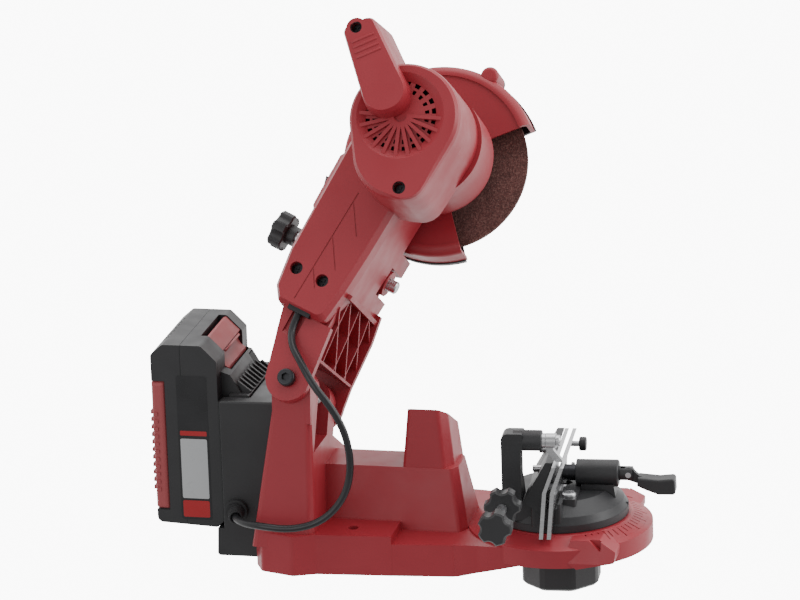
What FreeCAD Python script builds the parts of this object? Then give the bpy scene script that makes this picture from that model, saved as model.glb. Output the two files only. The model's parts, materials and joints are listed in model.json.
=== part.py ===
import FreeCAD, Part
import os, math
os.makedirs("parts", exist_ok=True)

# Cordless chainsaw sharpener with a swivelling chain vise.
# Millimetres. +Z up, +X from the battery towards the vise, -Y the side of the
# motor's vented end. Sizes below are given from a working frame whose X = 0 is
# the head hinge, Y = 0 the middle plane of the base and Z = 0 the bench; the
# finished pieces are moved so that the origin is the bench-bolt pattern.
V = FreeCAD.Vector
BOLT_X = 34.0             # bench bolts, in front of the hinge
BOLT_Y = 41.0
BOLT_R = 3.25

# ---- driving dimensions -------------------------------------------------
TILT = 30.0               # hinge axis dips this much towards the far side
ARM = 24.5                # arm leans this much from upright at rest
HINGE = V(0, -22, 104)
WHEEL_R = 54.0            # 108 mm wheel
WHEEL_T = 3.2
WHEEL_BORE = 11.5         # 23 mm bore
WHEEL_A, WHEEL_B, WHEEL_N = -3.4, 166.7, -40.0
GUARD_R = 60.2
N_PART = 28.0             # parting plane of the two head shells
N_ARM = 42.0              # near face of the arm cover
N_CAP = 82.0              # near face of the motor end
N_FAR = -44.0             # far wall of the arm
N_GUARD = -28.0           # near face of the wheel guard
WALL = 3.0
SW_X = 153.0              # vise swivel axis
SW_ANG = 4.5              # vise stands this far off zero
PLATE_R = 41.5
DISC_R = 56.0
BAT_X0, BAT_X1 = -89.0, -47.5
BAT_Y = 37.5
BAT_Z0, BAT_Z1 = 20.0, 135.0
CABLE_D = 4.5
TOOTH_V = -6.8            # stop face, square to the head's swing
RUN = 0.03                # radial running clearance

# ---- helpers ------------------------------------------------------------
tr, gr = math.radians(TILT), math.radians(ARM)
VV = V(0, math.sin(tr), math.cos(tr))
NN = V(0, -math.cos(tr), math.sin(tr))
XX = V(1, 0, 0)
AV = XX * math.cos(gr) - VV * math.sin(gr)
BV = XX * math.sin(gr) + VV * math.cos(gr)
M_HEAD = FreeCAD.Matrix(AV.x, BV.x, NN.x, HINGE.x,
                        AV.y, BV.y, NN.y, HINGE.y,
                        AV.z, BV.z, NN.z, HINGE.z, 0, 0, 0, 1)
P_HEAD = FreeCAD.Placement(M_HEAD)
P_TABLE = FreeCAD.Placement(V(SW_X, 0, 0), FreeCAD.Rotation(V(0, 0, 1), SW_ANG))


M_TILT = FreeCAD.Matrix(1, 0, 0, HINGE.x, 0, VV.y, NN.y, HINGE.y, 0, VV.z, NN.z, HINGE.z, 0, 0, 0, 1)
P_TILT = FreeCAD.Placement(M_TILT)


def tilt(s):
    s = s.copy()
    s.Placement = P_TILT.multiply(s.Placement)
    return s


def head(s):
    s = s.copy()
    s.Placement = P_HEAD.multiply(s.Placement)
    return s


def table(s):
    s = s.copy()
    s.Placement = P_TABLE.multiply(s.Placement)
    return s


def hp(a, b, n):
    return HINGE + AV * a + BV * b + NN * n


def box(x0, x1, y0, y1, z0, z1):
    return Part.makeBox(x1 - x0, y1 - y0, z1 - z0, V(x0, y0, z0))


def cyl(p, d, r, length):
    return Part.makeCylinder(r, length, p, d)


def cone(p, d, r1, r2, length):
    return Part.makeCone(r1, r2, length, p, d)


def tube(p, d, r, ri, length):
    return cyl(p, d, r, length).cut(cyl(p - d * 1.0, d, ri, length + 2.0))


def rwire(pts, z=0.0, plane="xy"):
    """Closed outline of (u, v, corner radius)."""
    def at(u, v):
        if plane == "xy":
            return V(u, v, z)
        if plane == "xz":
            return V(u, z, v)
        return V(z, u, v)
    n = len(pts)
    seg = []
    for i in range(n):
        p0, p1, p2 = pts[i - 1], pts[i], pts[(i + 1) % n]
        r = p1[2] if len(p1) > 2 else 0.0
        c = V(p1[0], p1[1], 0)
        d0 = V(p0[0], p0[1], 0) - c
        d2 = V(p2[0], p2[1], 0) - c
        if r <= 0:
            seg.append((c, None, c))
            continue
        d0.normalize()
        d2.normalize()
        ang = d0.getAngle(d2)
        t = r / math.tan(ang / 2)
        bis = d0 + d2
        bis.normalize()
        cen = c + bis * (r / math.sin(ang / 2))
        mid = cen - bis * r
        seg.append((c + d0 * t, mid, c + d2 * t))
    edges = []
    for i in range(n):
        a, m, b = seg[i]
        if m is not None:
            edges.append(Part.Arc(at(a.x, a.y), at(m.x, m.y), at(b.x, b.y)).toShape())
        nx = seg[(i + 1) % n][0]
        if (nx - b).Length > 1e-6:
            edges.append(Part.LineSegment(at(b.x, b.y), at(nx.x, nx.y)).toShape())
    return Part.Wire(edges)


def prism(pts, z0, z1, plane="xy"):
    w = rwire(pts, z0, plane)
    d = {"xy": V(0, 0, z1 - z0), "xz": V(0, z1 - z0, 0), "yz": V(z1 - z0, 0, 0)}[plane]
    return Part.Face(w).extrude(d)


def loft(wires):
    return Part.makeLoft(wires, True, True)


def fil(s, r, pick):
    """Fillet the edges that pick(edge) chooses; the shape is kept if it fails."""
    es = [e for e in s.Edges if pick(e)]
    if not es:
        return s
    try:
        f = s.makeFillet(r, es)
        if f.isValid() and f.Volume > 0:
            return f
    except Exception:
        pass
    return s


def cham(s, r, pick):
    es = [e for e in s.Edges if pick(e)]
    if not es:
        return s
    try:
        f = s.makeChamfer(r, es)
        if f.isValid() and f.Volume > 0:
            return f
    except Exception:
        pass
    return s


def mid(e):
    return e.valueAt((e.FirstParameter + e.LastParameter) / 2.0)


def one(s):
    """Largest solid of a shape."""
    if len(s.Solids) > 1:
        return sorted(s.Solids, key=lambda q: -q.Volume)[0]
    return s


NAMES = []


def save(name, shape):
    shape = shape.copy()
    shape.translate(V(-BOLT_X, 0, 0))
    if shape.ShapeType != "Compound":
        shape = shape.removeSplitter()
    assert shape.isValid(), name
    shape.exportStep("parts/%s.step" % name)
    bb = shape.BoundBox
    NAMES.append(name)
    print("%-20s solids %d  vol %9.1f  x %.1f..%.1f y %.1f..%.1f z %.1f..%.1f" % (
        name, len(shape.Solids), shape.Volume, bb.XMin, bb.XMax, bb.YMin, bb.YMax, bb.ZMin, bb.ZMax))


def group(shapes):
    return Part.makeCompound(shapes)


ZV = V(0, 0, 1)
XV = V(1, 0, 0)
YV = V(0, 1, 0)

# =========================================================================
# BASE
# =========================================================================
# Foot plate: rear part high, front part one step lower, open underneath.
foot = prism([(-26, -44, 3), (-20, -56, 4), (1, -62.5, 4), (14, -57, 6), (60, -54, 0), (60, 54, 0),
              (14, 57, 6), (1, 62.5, 4), (-20, 56, 4), (-26, 44, 3)], 0, 25)
front = prism([(55, -54.3, 0), (99, -50.5, 3), (99, 50.5, 3), (55, 54.3, 0)], 0, 20)
# front tongue: underside rises from the front foot to the disc
tongue = prism([(90, 0, 0), (99, 0, 1), (149, 11.3, 0), (196, 11.3, 0), (196, 20, 0), (90, 20, 0)], -50, 50, "xz")
tong_plan = prism([(80, -51, 0), (112, -49.5, 8), (153, -53, 0), (153, 53, 0), (112, 49.5, 8), (80, 51, 0)], -5, 40)
tongue = tongue.common(tong_plan)
# round protractor with a sloping scale face
disc = cyl(V(SW_X, 0, 10), ZV, DISC_R, 11).fuse(cone(V(SW_X, 0, 21), ZV, DISC_R, PLATE_R + 1.5, 5.5))
disc = disc.fuse(cyl(V(SW_X, 0, 20), ZV, PLATE_R + 1.5, 6.8))
base = foot.fuse([front, tongue, disc])
# buttress on the near and far flank of the disc, with a three-cornered pocket
for sy in (-1, 1):
    b = prism([(166.5, 20, 0), (168.5, 26.2, 0), (186.0, 26.4, 1), (196.0, 20.5, 1), (195.4, 14.4, 1), (172.5, 9.6, 1), (168.0, 12.5, 1)],
              sy * 54.2, sy * 30.0, "xz")
    b = b.cut(prism([(sy * 54.3, 13.0, 0), (sy * 48.2, 30.0, 0), (sy * 70, 30, 0), (sy * 70, 13, 0)], 160, 200, "yz"))
    b = b.cut(prism([(175.0, 30.5, 0), (187.2, 30.5, 0), (187.0, 20.0, 0.6)], sy * 60.0, sy * 47.4, "xz"))
    b = b.cut(cyl(V(SW_X, 0, 26.4), ZV, PLATE_R + 2.0, 10))
    base = base.fuse(b)
# raised middle block and the stop tooth
blk = loft([rwire([(6, -26, 0), (97, -28, 3), (100.5, -20, 3), (100.5, 15, 3), (97, 22, 3), (6, 22, 0)], 18),
            rwire([(6, -21, 0), (91.2, -21.5, 3), (94.4, -16, 3), (94.4, 4, 3), (91.2, 8, 3), (6, 8, 0)], 58)])
tooth = loft([rwire([(60.5, -21.2, 3), (87, -21.2, 3), (91.6, -12, 3), (91.6, 12, 3), (87, 21, 3), (60.5, 21, 3)], 55),
              rwire([(64.8, -19, 3), (83.0, -19, 3), (86.9, -11, 3), (86.9, 9, 3), (83.0, 16.2, 3), (64.8, 16.2, 3)], 99)])
tooth = tooth.cut(box(40, 120, -40, 40, 0, 56))
tooth = tooth.cut(tilt(box(30, 130, TOOTH_V, 90, -120, 90)))
far_wedge = loft([rwire([(60.5, 5, 2), (89.6, 5, 3), (92.2, 10, 3), (89.6, 22, 3), (60.5, 22, 2)], 20),
                  rwire([(60.5, 5, 2), (87.4, 5, 3), (90.8, 9, 3), (87.4, 20, 3), (60.5, 20, 2)], 58)])
base = base.fuse([blk, tooth, far_wedge])
# column
col = loft([rwire([(-25.5, -57.5, 3), (10.5, -57.5, 4), (13.5, -54.5, 3), (13.5, 54, 3), (10.5, 57, 4), (-25.5, 57, 3)], 16),
            rwire([(-9.5, -49.6, 2), (10.5, -49.6, 4), (12.6, -47.5, 2), (12.6, 9, 2), (10.5, 12, 4), (-9.5, 12, 2)], 112)])
# ears: a tilted slab with a round top about the hinge
slab_near, slab_far = 28.4, -38.2
R_EAR = 13.0
col = col.common(box(-60, 60, -90, 90, 0, 113))
ear = tilt(box(-11.5, 12.6, -24, 0, slab_far, slab_near)).fuse(head(cyl(V(0, 0, slab_far), ZV, R_EAR, slab_near - slab_far)))
# the block below the hinge stays behind the column's own near face
ear = ear.cut(prism([(-57.0, 16, 0), (-49.6, 112, 0), (-49.2, 117, 0), (-90, 117, 0), (-90, 16, 0)], -60, 60, "yz").cut(
    head(cyl(V(0, 0, slab_far), ZV, R_EAR, slab_near - slab_far))))
ear = ear.cut(box(-60, -11.0, -90, 90, 60, 200))
col = col.cut(tilt(box(-60, 60, -19, 90, slab_far - 60, slab_far)))
col = col.cut(tilt(box(-60, 60, 0, 90, slab_far, slab_near).cut(cyl(V(0, 0, slab_far - 1), ZV, R_EAR, 90))))
col = col.fuse(ear)
col = col.cut(tilt(box(-60, 60, -14.6, 90, slab_near, slab_near + 60)))
# slot between the ears for the spring
slot = tilt(box(-40, 40, -60, 40, -22, 7)).common(box(-60, 60, -90, 90, 74, 170))
col = col.cut(slot)
base = base.fuse(one(col))
# hinge bore through both ears
base = base.cut(head(cyl(V(0, 0, -80), ZV, 4.0 + RUN, 160)))
# hollow underside, open to the bench
cav = loft([rwire([(-22, -40, 2), (-17, -52, 3), (1, -58.3, 3), (12, -53.5, 4), (95, -46.8, 3), (95, 46.8, 3), (12, 53.5, 4),
                   (1, 58.3, 3), (-17, 52, 3), (-22, 40, 2)], -1),
            rwire([(-22, -40, 2), (-17, -51.5, 3), (1, -58, 3), (12, -53.2, 4), (95, -46.5, 3), (95, 46.5, 3), (12, 53.2, 4),
                   (1, 58, 3), (-17, 51.5, 3), (-22, 40, 2)], 16.4)])
cav2 = box(9.5, 90.4, -17.5, 4.5, 10, 53.5)
cav3 = box(66, 84, -14, 10, 50, 87).cut(tilt(box(30, 130, TOOTH_V - 3.5, 90, -120, 90)))
cav4 = loft([rwire([(-20, -51, 2), (8.5, -51, 2), (8.5, 50, 2), (-20, 50, 2)], 10),
             rwire([(-12.5, -46, 2), (8.5, -46, 2), (8.5, 27, 2), (-12.5, 27, 2)], 66)])
hollow = cav.fuse([cav2, cav3, cav4])
ribs = [box(-30, 110, -1.2, 1.2, 0, 60), box(30.8, 33.2, -60, 60, 4, 60), box(58, 60.4, -60, 60, 0, 60),
        box(-30, 110, 28, 30.2, 2, 30), box(-30, 110, -30.2, -28, 2, 30)]
for sy in (-1, 1):
    ribs.append(cyl(V(BOLT_X, sy * BOLT_Y, 0), ZV, 8.0, 30))
hollow = hollow.cut(ribs[0].fuse(ribs[1:]))
base = base.cut(hollow)
dcav = cyl(V(SW_X, 0, 5), ZV, DISC_R - 3.5, 18 - 0.5).cut(cyl(V(SW_X, 0, 4), ZV, 12, 30))
dcav = dcav.cut(box(90, 230, -1.3, 1.3, 0, 40)).cut(box(SW_X - 1.3, SW_X + 1.3, -80, 80, 0, 40))
base = base.cut(dcav.common(box(90, 230, -60, 60, 11.5, 30)))
# bench bolt holes with a counterbore
for sy in (-1, 1):
    base = base.cut(cyl(V(BOLT_X, sy * BOLT_Y, -1), ZV, BOLT_R, 40))
# swivel bolt bore and angle slot floor
base = base.cut(cyl(V(SW_X, 0, 0), ZV, 5.0 + RUN, 40))
# scale marks, cut into the sloping face
marks = []
for k in range(-12, 13):
    ang = k * 5.0
    ln = 8.6 if k % 3 == 0 else 5.6
    m = box(PLATE_R + 3.0, PLATE_R + 3.0 + ln, -0.35, 0.35, 24.7, 27.5)
    m.rotate(V(PLATE_R + 3, 0, 25.4), YV, math.degrees(math.atan2(5.5, DISC_R - PLATE_R - 1.5)))
    m.rotate(V(0, 0, 0), ZV, ang)
    m.translate(V(SW_X, 0, 0))
    marks.append(m)
base = base.cut(marks)
base = one(base)
save("base_housing", base)

# hinge bolt: head on the near side, nut on the far side
BOLT_N0, BOLT_N1 = -52.0, 37.2
bolt = cyl(V(0, 0, BOLT_N0), ZV, 4.0, BOLT_N1 - BOLT_N0)
bh = cyl(V(0, 0, BOLT_N1), ZV, 5.2, 4.6)
bh = fil(bh, 1.2, lambda e: abs(mid(e).z - (BOLT_N1 + 4.6)) < 0.01)
sock = prism([(2.6 * math.cos(math.radians(60 * k)), 2.6 * math.sin(math.radians(60 * k)), 0) for k in range(6)],
             BOLT_N1 + 2.2, BOLT_N1 + 6)
save("hinge_bolt", head(bolt.fuse(bh).cut(sock)))
nut = prism([(7.2 * math.cos(math.radians(60 * k)), 7.2 * math.sin(math.radians(60 * k)), 0) for k in range(6)], -51.6, -46.0)
nut = nut.cut(cyl(V(0, 0, -60), ZV, 4.02, 20))
save("hinge_nut", head(nut))
wash = [head(tube(V(0, 0, N), ZV, 9.5, 4.15, 1.0)) for N in (28.6, -39.4)] + \
       [head(tube(V(0, 0, -45.6), ZV, 8.6, 4.15, 1.1 + 0.3))]
save("hinge_washers", group(wash))

# torsion return spring round the bolt, between the ears
def helix_tube(r, wire_r, pitch, turns, start_z, seg=18):
    pts = []
    n = int(turns * seg)
    for i in range(n + 1):
        t = 2 * math.pi * i / seg
        pts.append(V(r * math.cos(t), r * math.sin(t), start_z + pitch * i / seg))
    bs = Part.BSplineCurve()
    bs.interpolate(pts)
    w = Part.Wire([bs.toShape()])
    t0 = bs.tangent(bs.FirstParameter)[0]
    c = Part.Wire([Part.makeCircle(wire_r, pts[0], t0)])
    return w.makePipeShell([c], True, True)


spring = helix_tube(7.6, 1.0, 2.6, 8.0, -18.2)
save("return_spring", head(spring))

# ---- battery holder -----------------------------------------------------
HY = 40.0
hold = prism([(-47, 101.5, 1.5), (-12.4, 102, 0), (-26.8, 3, 0), (-51.5, 3, 2), (-50.7, 20.5, 0), (-47, 20.5, 0)],
             -HY, HY, "xz")
slotb = prism([(-48, 34, 0), (-48, 110, 0), (-29, 110, 0), (-29, 34, 0)], -31.5, 31.5, "xz")
hold = hold.cut(slotb)
gut = prism([(-26, 40, 0), (-26, 96, 0), (-19, 96, 0), (-25, 40, 0)], -34, 34, "xz")
pocket = box(-46, -31, -36, 36, 8, 30)
hold = hold.cut(pocket)
# guide rails for the pack, along both cheeks of the channel
for sy in (-1, 1):
    y0, y1 = sorted((sy * 31.5, sy * 27.5))
    hold = hold.fuse(box(-47, -43, y0, y1, 34, 100))
# lead-in for the cable boss
boss = cyl(V(-38.3, -HY - 3.2, 32.6 - 0.0), YV, 7.2, 4)
hold = hold.fuse(boss)
hold = hold.cut(cyl(V(-38.3, -HY - 5, 32.6), YV, 3.5, 12))
COLX = 0.25
cut_col = loft([rwire([(-25.5 - COLX, -61, 3), (30, -61, 0), (30, 61, 0), (-25.5 - COLX, 61, 3)], 16),
                rwire([(-9.5 - COLX, -54, 3), (30, -54, 0), (30, 54, 0), (-9.5 - COLX, 54, 3)], 112)])
cut_foot = box(-26.2, 40, -70, 70, -1, 26)
cut_fork = head(cyl(V(0, 0, N_FAR - 1.2), ZV, 18.6, 6.8).fuse(
    prism([(-17.4, -6, 0), (-27.2, 38, 0), (30, 38, 0), (30, -6, 0)], N_FAR - 1.2, N_FAR + 5.6)))
hold = one(hold.cut(cut_col).cut(cut_fork).cut(cut_foot))
hold = fil(hold, 1.2, lambda e: abs(abs(mid(e).y) - HY) < 0.01 and mid(e).x < -20 and mid(e).z > 60)
save("battery_holder", hold)
term = box(-41.8, -29.2, -16, 16, 34.2, 42.0)
blades = [box(-40.5, -39.7, y - 3.2, y + 3.2, 42.0, 53) for y in (-10, 0, 10)]
save("terminal_block", group([term] + blades))
save("control_board", group([box(-44.5, -33.0, -32, 32, 14.0, 15.6)] +
                            [box(-42, -37, y - 4, y + 4, 15.6, 20.6) for y in (-20, -6, 10, 24)]))

gl = cyl(V(-38.3, -HY - 3.2 - 2.4, 32.6), YV, 5.6, 2.4)
gl = gl.fuse(cyl(V(-38.3, -HY - 3.2, 32.6), YV, 3.45, 7.5))
gl = gl.fuse(cone(V(-37.75, -HY - 3.2 - 2.4 + 0.4, 32.6), V(1.35, -5.0, 0), 4.3, 3.3, 5.4))

# ---- cable --------------------------------------------------------------
def hx(p):
    return (p.x, p.y, p.z)


CABLE_PTS = [
    hx(hp(-13.6, 43.8, 36.5)),
    hx(hp(-13.6, 29.8, 36.6)),
    (1.6, -47.6, 141.6),
    (9.6, -57.2, 133.6),
    (18.4, -64.5, 122.0),
    (30.2, -65.5, 107.8),
    (38.2, -65.5, 91.0),
    (40.2, -65.5, 69.8),
    (34.9, -66.5, 51.6),
    (21.5, -68.0, 37.6),
    (3.4, -70.0, 32.4),
    (-15.8, -69.5, 33.5),
    (-31.2, -61.0, 32.3),
    (-38.3, -49.0, 32.6),
    (-38.3, -34.5, 32.6),
]


def route_tube(pts, dia):
    P = [V(*p) for p in pts]
    n = len(P)
    runs = [(P[i + 1] - P[i]).Length for i in range(n - 1)]
    edges = []
    last = P[0]
    radii = []
    for i in range(1, n - 1):
        d0 = P[i - 1] - P[i]
        d2 = P[i + 1] - P[i]
        d0.normalize()
        d2.normalize()
        inner = d0.getAngle(d2)
        turn = math.pi - inner
        t = 0.45 * min(runs[i - 1], runs[i])
        r = t / math.tan(turn / 2)
        radii.append(r)
        bis = d0 + d2
        bis.normalize()
        cen = P[i] + bis * (r / math.sin(inner / 2))
        m = cen - bis * r
        a, b = P[i] + d0 * t, P[i] + d2 * t
        edges.append(Part.LineSegment(last, a).toShape())
        edges.append(Part.Arc(a, m, b).toShape())
        last = b
    edges.append(Part.LineSegment(last, P[-1]).toShape())
    w = Part.Wire(edges)
    d = P[1] - P[0]
    d.normalize()
    c = Part.Wire([Part.makeCircle(dia / 2, P[0], d)])
    s = w.makePipeShell([c], True, False)
    print("cable length %.1f radii %s" % (w.Length, [round(r, 1) for r in radii]))
    print("cable runs", [round(r, 1) for r in runs])
    print("cable volume %.1f, section x length %.1f" % (s.Volume, math.pi * dia * dia / 4 * w.Length))
    return s


cable = route_tube(CABLE_PTS, CABLE_D)
save("power_cable", cable)
gl = gl.cut(cable)
save("cable_gland", one(gl))

# =========================================================================
# HEAD  (a across the arm, b along it, n towards the vented end)
# =========================================================================
def barrel_wire(off, n, offc=None):
    """Outline of the motor end: hull of three circles, grown by off."""
    oc = 0.3 * off if offc is None else offc
    cs = [((-1.0, 165.5), 33.2 + off), ((7.2, 147.5), 29.4 + off), ((17.8, 133.2), 12.9 + oc)]
    nrm = []
    for i in range(3):
        (p1, r1), (p2, r2) = cs[i], cs[(i + 1) % 3]
        dx, dy = p2[0] - p1[0], p2[1] - p1[1]
        D = math.hypot(dx, dy)
        dx, dy = dx / D, dy / D
        k = (r1 - r2) / D
        q = math.sqrt(1 - k * k)
        nrm.append((dx * k + dy * q, dy * k - dx * q))
    A = lambda c, r, m: V(c[0] + r * m[0], c[1] + r * m[1], n)
    e = []
    for i in range(3):
        c, r = cs[i]
        m_in, m_out = nrm[i - 1], nrm[i]
        a0 = math.atan2(m_in[1], m_in[0])
        da = (math.atan2(m_out[1], m_out[0]) - a0) % (2 * math.pi)
        am = a0 + da / 2
        e.append(Part.Arc(A(c, r, m_in), A(c, r, (math.cos(am), math.sin(am))), A(c, r, m_out)).toShape())
        c2, r2 = cs[(i + 1) % 3]
        e.append(Part.LineSegment(A(c, r, m_out), A(c2, r2, m_out)).toShape())
    return Part.Wire(e)


def arm_pts(off):
    return [(-28 - off * 0.4, 38.6 - off, 3), (-34 - off, 47, 5), (-37 - off, 70, 6), (-36.5 - off, 150, 0),
            (12 + off, 150, 0), (9.5 + off, 125, 0), (8 + off, 90, 0), (6 + off, 62, 0), (3.2 + off, 38.6 - off, 4)]


def arm_wire(off, n):
    return rwire(arm_pts(off), n)


# -- far shell: arm box, lower fork and the far half of the motor barrel
arm_far = loft([arm_wire(0, N_FAR), arm_wire(0.6, N_PART)])
arm_far = arm_far.cut(box(-80, 80, 62, 300, N_FAR - 5, -20).common(box(-80, 80, 104, 300, -80, -20)))
# lower part of the box only starts at the fork
arm_far = arm_far.cut(box(-80, 80, 0, 300, N_FAR - 5, N_PART + 5).common(box(-80, 80, 0, 38.6, -80, 80)))
front_cut = prism([(20, -60, 0), (60.2, -60, 0), (60.0, 18.0, 0), (38.6, 34.3, 0), (20, 34.3, 0)], -33.0, 20, "yz")
# outline is given as (b, n); turn it so that a is the extrusion axis
arm_far = arm_far.cut(front_cut.common(box(-31.0, 40, -20, 62, -60, 60)))
B_C = V(1.0, 165.0, 0)


def barrel_cyl(off):
    return cyl(B_C + ZV * (-10.0), ZV, 35.3 + off, N_PART + 10.0).fuse([
        cone(B_C + ZV * (-15.5), ZV, 34.0 + off, 35.3 + off, 5.5), cone(B_C + ZV * (-20.0), ZV, 29.5 + off, 34.0 + off, 4.5)])


barrel_far = barrel_cyl(0).fuse(loft([barrel_wire(1.2, N_PART), barrel_wire(1.0, 24.6), barrel_wire(-1.5, 22.4)]))
nose = cyl(V(WHEEL_A, WHEEL_B, N_GUARD + 0.2), ZV, 24.0, 12.0)
pad = box(-43.0, -33.0, 99, 138, -4, 25)
pad = cham(pad, 2.4, lambda e: abs(mid(e).x + 43.0) < 0.01)
arm_far = arm_far.fuse(pad)
far = arm_far.fuse([barrel_far, nose])
# fork walls reaching down to the hinge
near_wall = rwire([(-12.6, -6, 0), (-24.5, 38, 0), (-30, 64, 0), (7.5, 64, 0), (8.6, 38, 0), (13.4, 0, 0)], 30.2)
lobe = lambda r, n0, n1: cyl(V(0, 0, n0), ZV, r, n1 - n0)
fork_n = Part.Face(near_wall).extrude(V(0, 0, 5.6)).fuse(lobe(13.4, 30.2, 35.8))
fork_n = fork_n.cut(box(-60, 60, 38.6, 100, N_PART, 60))
fork_n = fork_n.fuse(box(-24, 6, 36, 62, N_PART - 5, 30.2).common(box(-23.0, 5, 36, 62, 20, 30.3)))
far_pts = [(-16.5, -6, 0), (-26, 38, 0), (-31, 66, 0), (9.5, 66, 0), (12.5, 49, 0), (14.5, 19, 0), (17.4, 0, 0)]
fork_f = Part.Face(rwire(far_pts, N_FAR)).extrude(V(0, 0, 4.2)).fuse(lobe(17.4, N_FAR, N_FAR + 4.2))
# back wall of the fork, bent to miss the ears
back = prism([(-20.2, 21.5, 0), (-17.2, 21.5, 0), (-21.6, 38, 0), (-27.0, 64, 0), (-30, 64, 0), (-24.5, 38, 0)], N_FAR, 35.8)
back = back.cut(box(-60, 0, 37.9, 90, N_PART, 60))
floor_pl = prism([(-11.0, 19.5, 0), (-9.0, 19.5, 0), (-9.0, 66, 0), (-11.0, 66, 0)], N_FAR + 2, 32)
cross = loft([rwire([(-19.4, 20.6, 0), (10.0, 18.2, 0), (10.0, 19.8, 0), (-18.4, 22.4, 0)], 32),
              rwire([(-19.4, 20.6, 0), (14.4, 18.8, 0), (14.4, 20.4, 0), (-18.4, 22.4, 0)], N_FAR + 2)])
web_u = prism([(-27, 59.5, 0), (9.0, 59.5, 0), (9.5, 62.2, 0), (-27, 62.2, 0)], N_FAR, 31)
far = far.fuse([fork_n, fork_f, back, floor_pl, cross, web_u])
# hollow box of the arm and barrel, open at the parting plane
inner = loft([arm_wire(-WALL, N_FAR + WALL), arm_wire(-WALL, N_PART + 1)])
inner = inner.common(box(-80, 80, 62.2 + WALL - 2, 104 - WALL, -80, 80).fuse(box(-80, 80, 62.2 + 1, 140, -20 + WALL, 80)))
binner = cyl(B_C + ZV * (-9.0), ZV, 32.4, N_PART + 10.0).fuse(cone(B_C + ZV * (-14.0), ZV, 30.4, 32.4, 5.0))
far = far.cut(inner).cut(binner)
far = far.fuse(box(-36, 6, 128, 131, -17, 12).common(arm_far))
# switch seat in the back pad
SW_B, SW_N = 115.0, 10.5
far = far.cut(box(-40.4, -32.5, 101.6, 127.8, -1.4, 22.4))
far = far.cut(box(-60, -28, SW_B - 9.7, SW_B + 9.9, SW_N - 6.6, SW_N + 6.6))
# lattice of stiffening ribs in the open underside of the fork
lattice = []
for n_c in (20.0, -3.0, -26.0):
    lattice.append(box(-9.2, 20, 19.6, 60.4, n_c - 0.5, n_c + 0.5))
for n_c in (30.0, 8.0, -14.0, -36.0):
    rib = box(-9.2, 20, -40, 40, -0.5, 0.5)
    rib.rotate(V(0, 0, 0), XV, 49.5)
    rib.translate(V(0, 40.0, n_c - 14.0))
    lattice.append(rib)
zone = loft([rwire([(-9.2, 19.4, 0), (9.0, 19.4, 0), (6.6, 40, 0), (5.6, 60.4, 0), (-9.2, 60.4, 0)], 30.3),
             rwire([(-9.2, 19.4, 0), (13.0, 19.4, 0), (11.0, 49, 0), (8.6, 60.4, 0), (-9.2, 60.4, 0)], N_FAR + 4.1)])
lattice = [r.common(zone) for r in lattice]
lattice = [r for r in lattice if r.Volume > 1]
far = far.fuse(lattice)
# depth rod bore and its boss, and the notch in the front face beside it
ROD_B, ROD_N = 84.3, -25.0
far = far.fuse(cyl(V(-37.5, ROD_B, ROD_N), XV, 8.5, 12).fuse(cyl(V(-6, ROD_B, ROD_N), XV, 8.0, 14.6)))
notch = prism([(1, 73.5, 0), (20, 71, 0), (20, 97, 0), (1, 91, 0)], -60, -16).common(
    prism([(0, 60, 0), (30, 60, 0), (30, 110, 0), (0, 110, 0)], -60, 60))
notch = notch.cut(cyl(V(-6, ROD_B, ROD_N), XV, 8.0, 14.6))
far = far.cut(notch.common(box(1, 30, 74.5, 95.5, -60, -14)))
far = far.cut(cyl(V(-60, ROD_B, ROD_N), XV, 6.0 + 0.05, 40).common(box(-60, -29, 0, 200, -80, 80)))
far = far.cut(cyl(V(-60, ROD_B, ROD_N), XV, 4.3, 90))
# hinge bores, bolt bore for the shaft's front bearing
far = far.cut(cyl(V(0, 0, N_FAR - 5), ZV, 4.0 + 0.05, 100))
far = far.cut(cyl(V(WHEEL_A, WHEEL_B, -40), ZV, 7.0, 40))
far = far.cut(cyl(V(WHEEL_A, WHEEL_B, -21.0), ZV, 11.0, 40))
# groove under the cable, screw holes
far = far.cut(prism([(22.5, 36.4, 0), (26.5, 33.9, 0), (38.7, 33.6, 0), (38.7, 37, 0), (22.5, 37, 0)], -17.4, -8.2, "yz"))
for (a, b) in ((-26.7, 60.9), (-8.8, 61.0)):
    far = far.cut(cyl(V(a, b, 5.5), ZV, 1.9, 40))
far = one(far)
save("head_housing", head(far))

# -- near shell: arm cover, motor end with vents, near half of the handle
cov_arm = loft([arm_wire(0.6, N_PART), arm_wire(0.0, 37.5), arm_wire(-2.6, N_ARM)])
cov_arm = cov_arm.cut(box(-80, 80, 0, 300, N_PART - 1, 30.6).common(box(-80, 80, -10, 38.2, -80, 80)))
cap = loft([barrel_wire(1.2, N_PART), barrel_wire(0.8, 60), barrel_wire(0.4, 76.5)]).fuse(
    loft([barrel_wire(0.4, 76.5), barrel_wire(-0.2, 79.8), barrel_wire(-1.9, N_CAP)]))
cov = cov_arm.fuse(cap)
DISH = (-3.2, 165.5)
# handle stem: from the boss on the end to the tip
HT = (-51.3, 202.6)
HB = (-17.0, 173.4)
HS = (-49.6, 199.0)            # screw at the tip
hd = V(HT[0] - HB[0], HT[1] - HB[1], 0)
hl = hd.Length
hd.normalize()
hs = V(-hd.y, hd.x, 0)


def stem(n, w0, w1, r0, r1, ext=0.0):
    b = V(HB[0], HB[1], n)
    t = V(HT[0], HT[1], n) + hd * ext
    pts = []
    for u, w, r in ((b - hd * w0, w0, r0), ):
        pts.append((u + hs * w, r0))
        pts.append((u - hs * w, r0))
    pts.append((t - hs * w1, r1))
    pts.append((t + hs * w1, r1))
    return rwire([(p.x, p.y, r) for p, r in pts], n)


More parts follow.
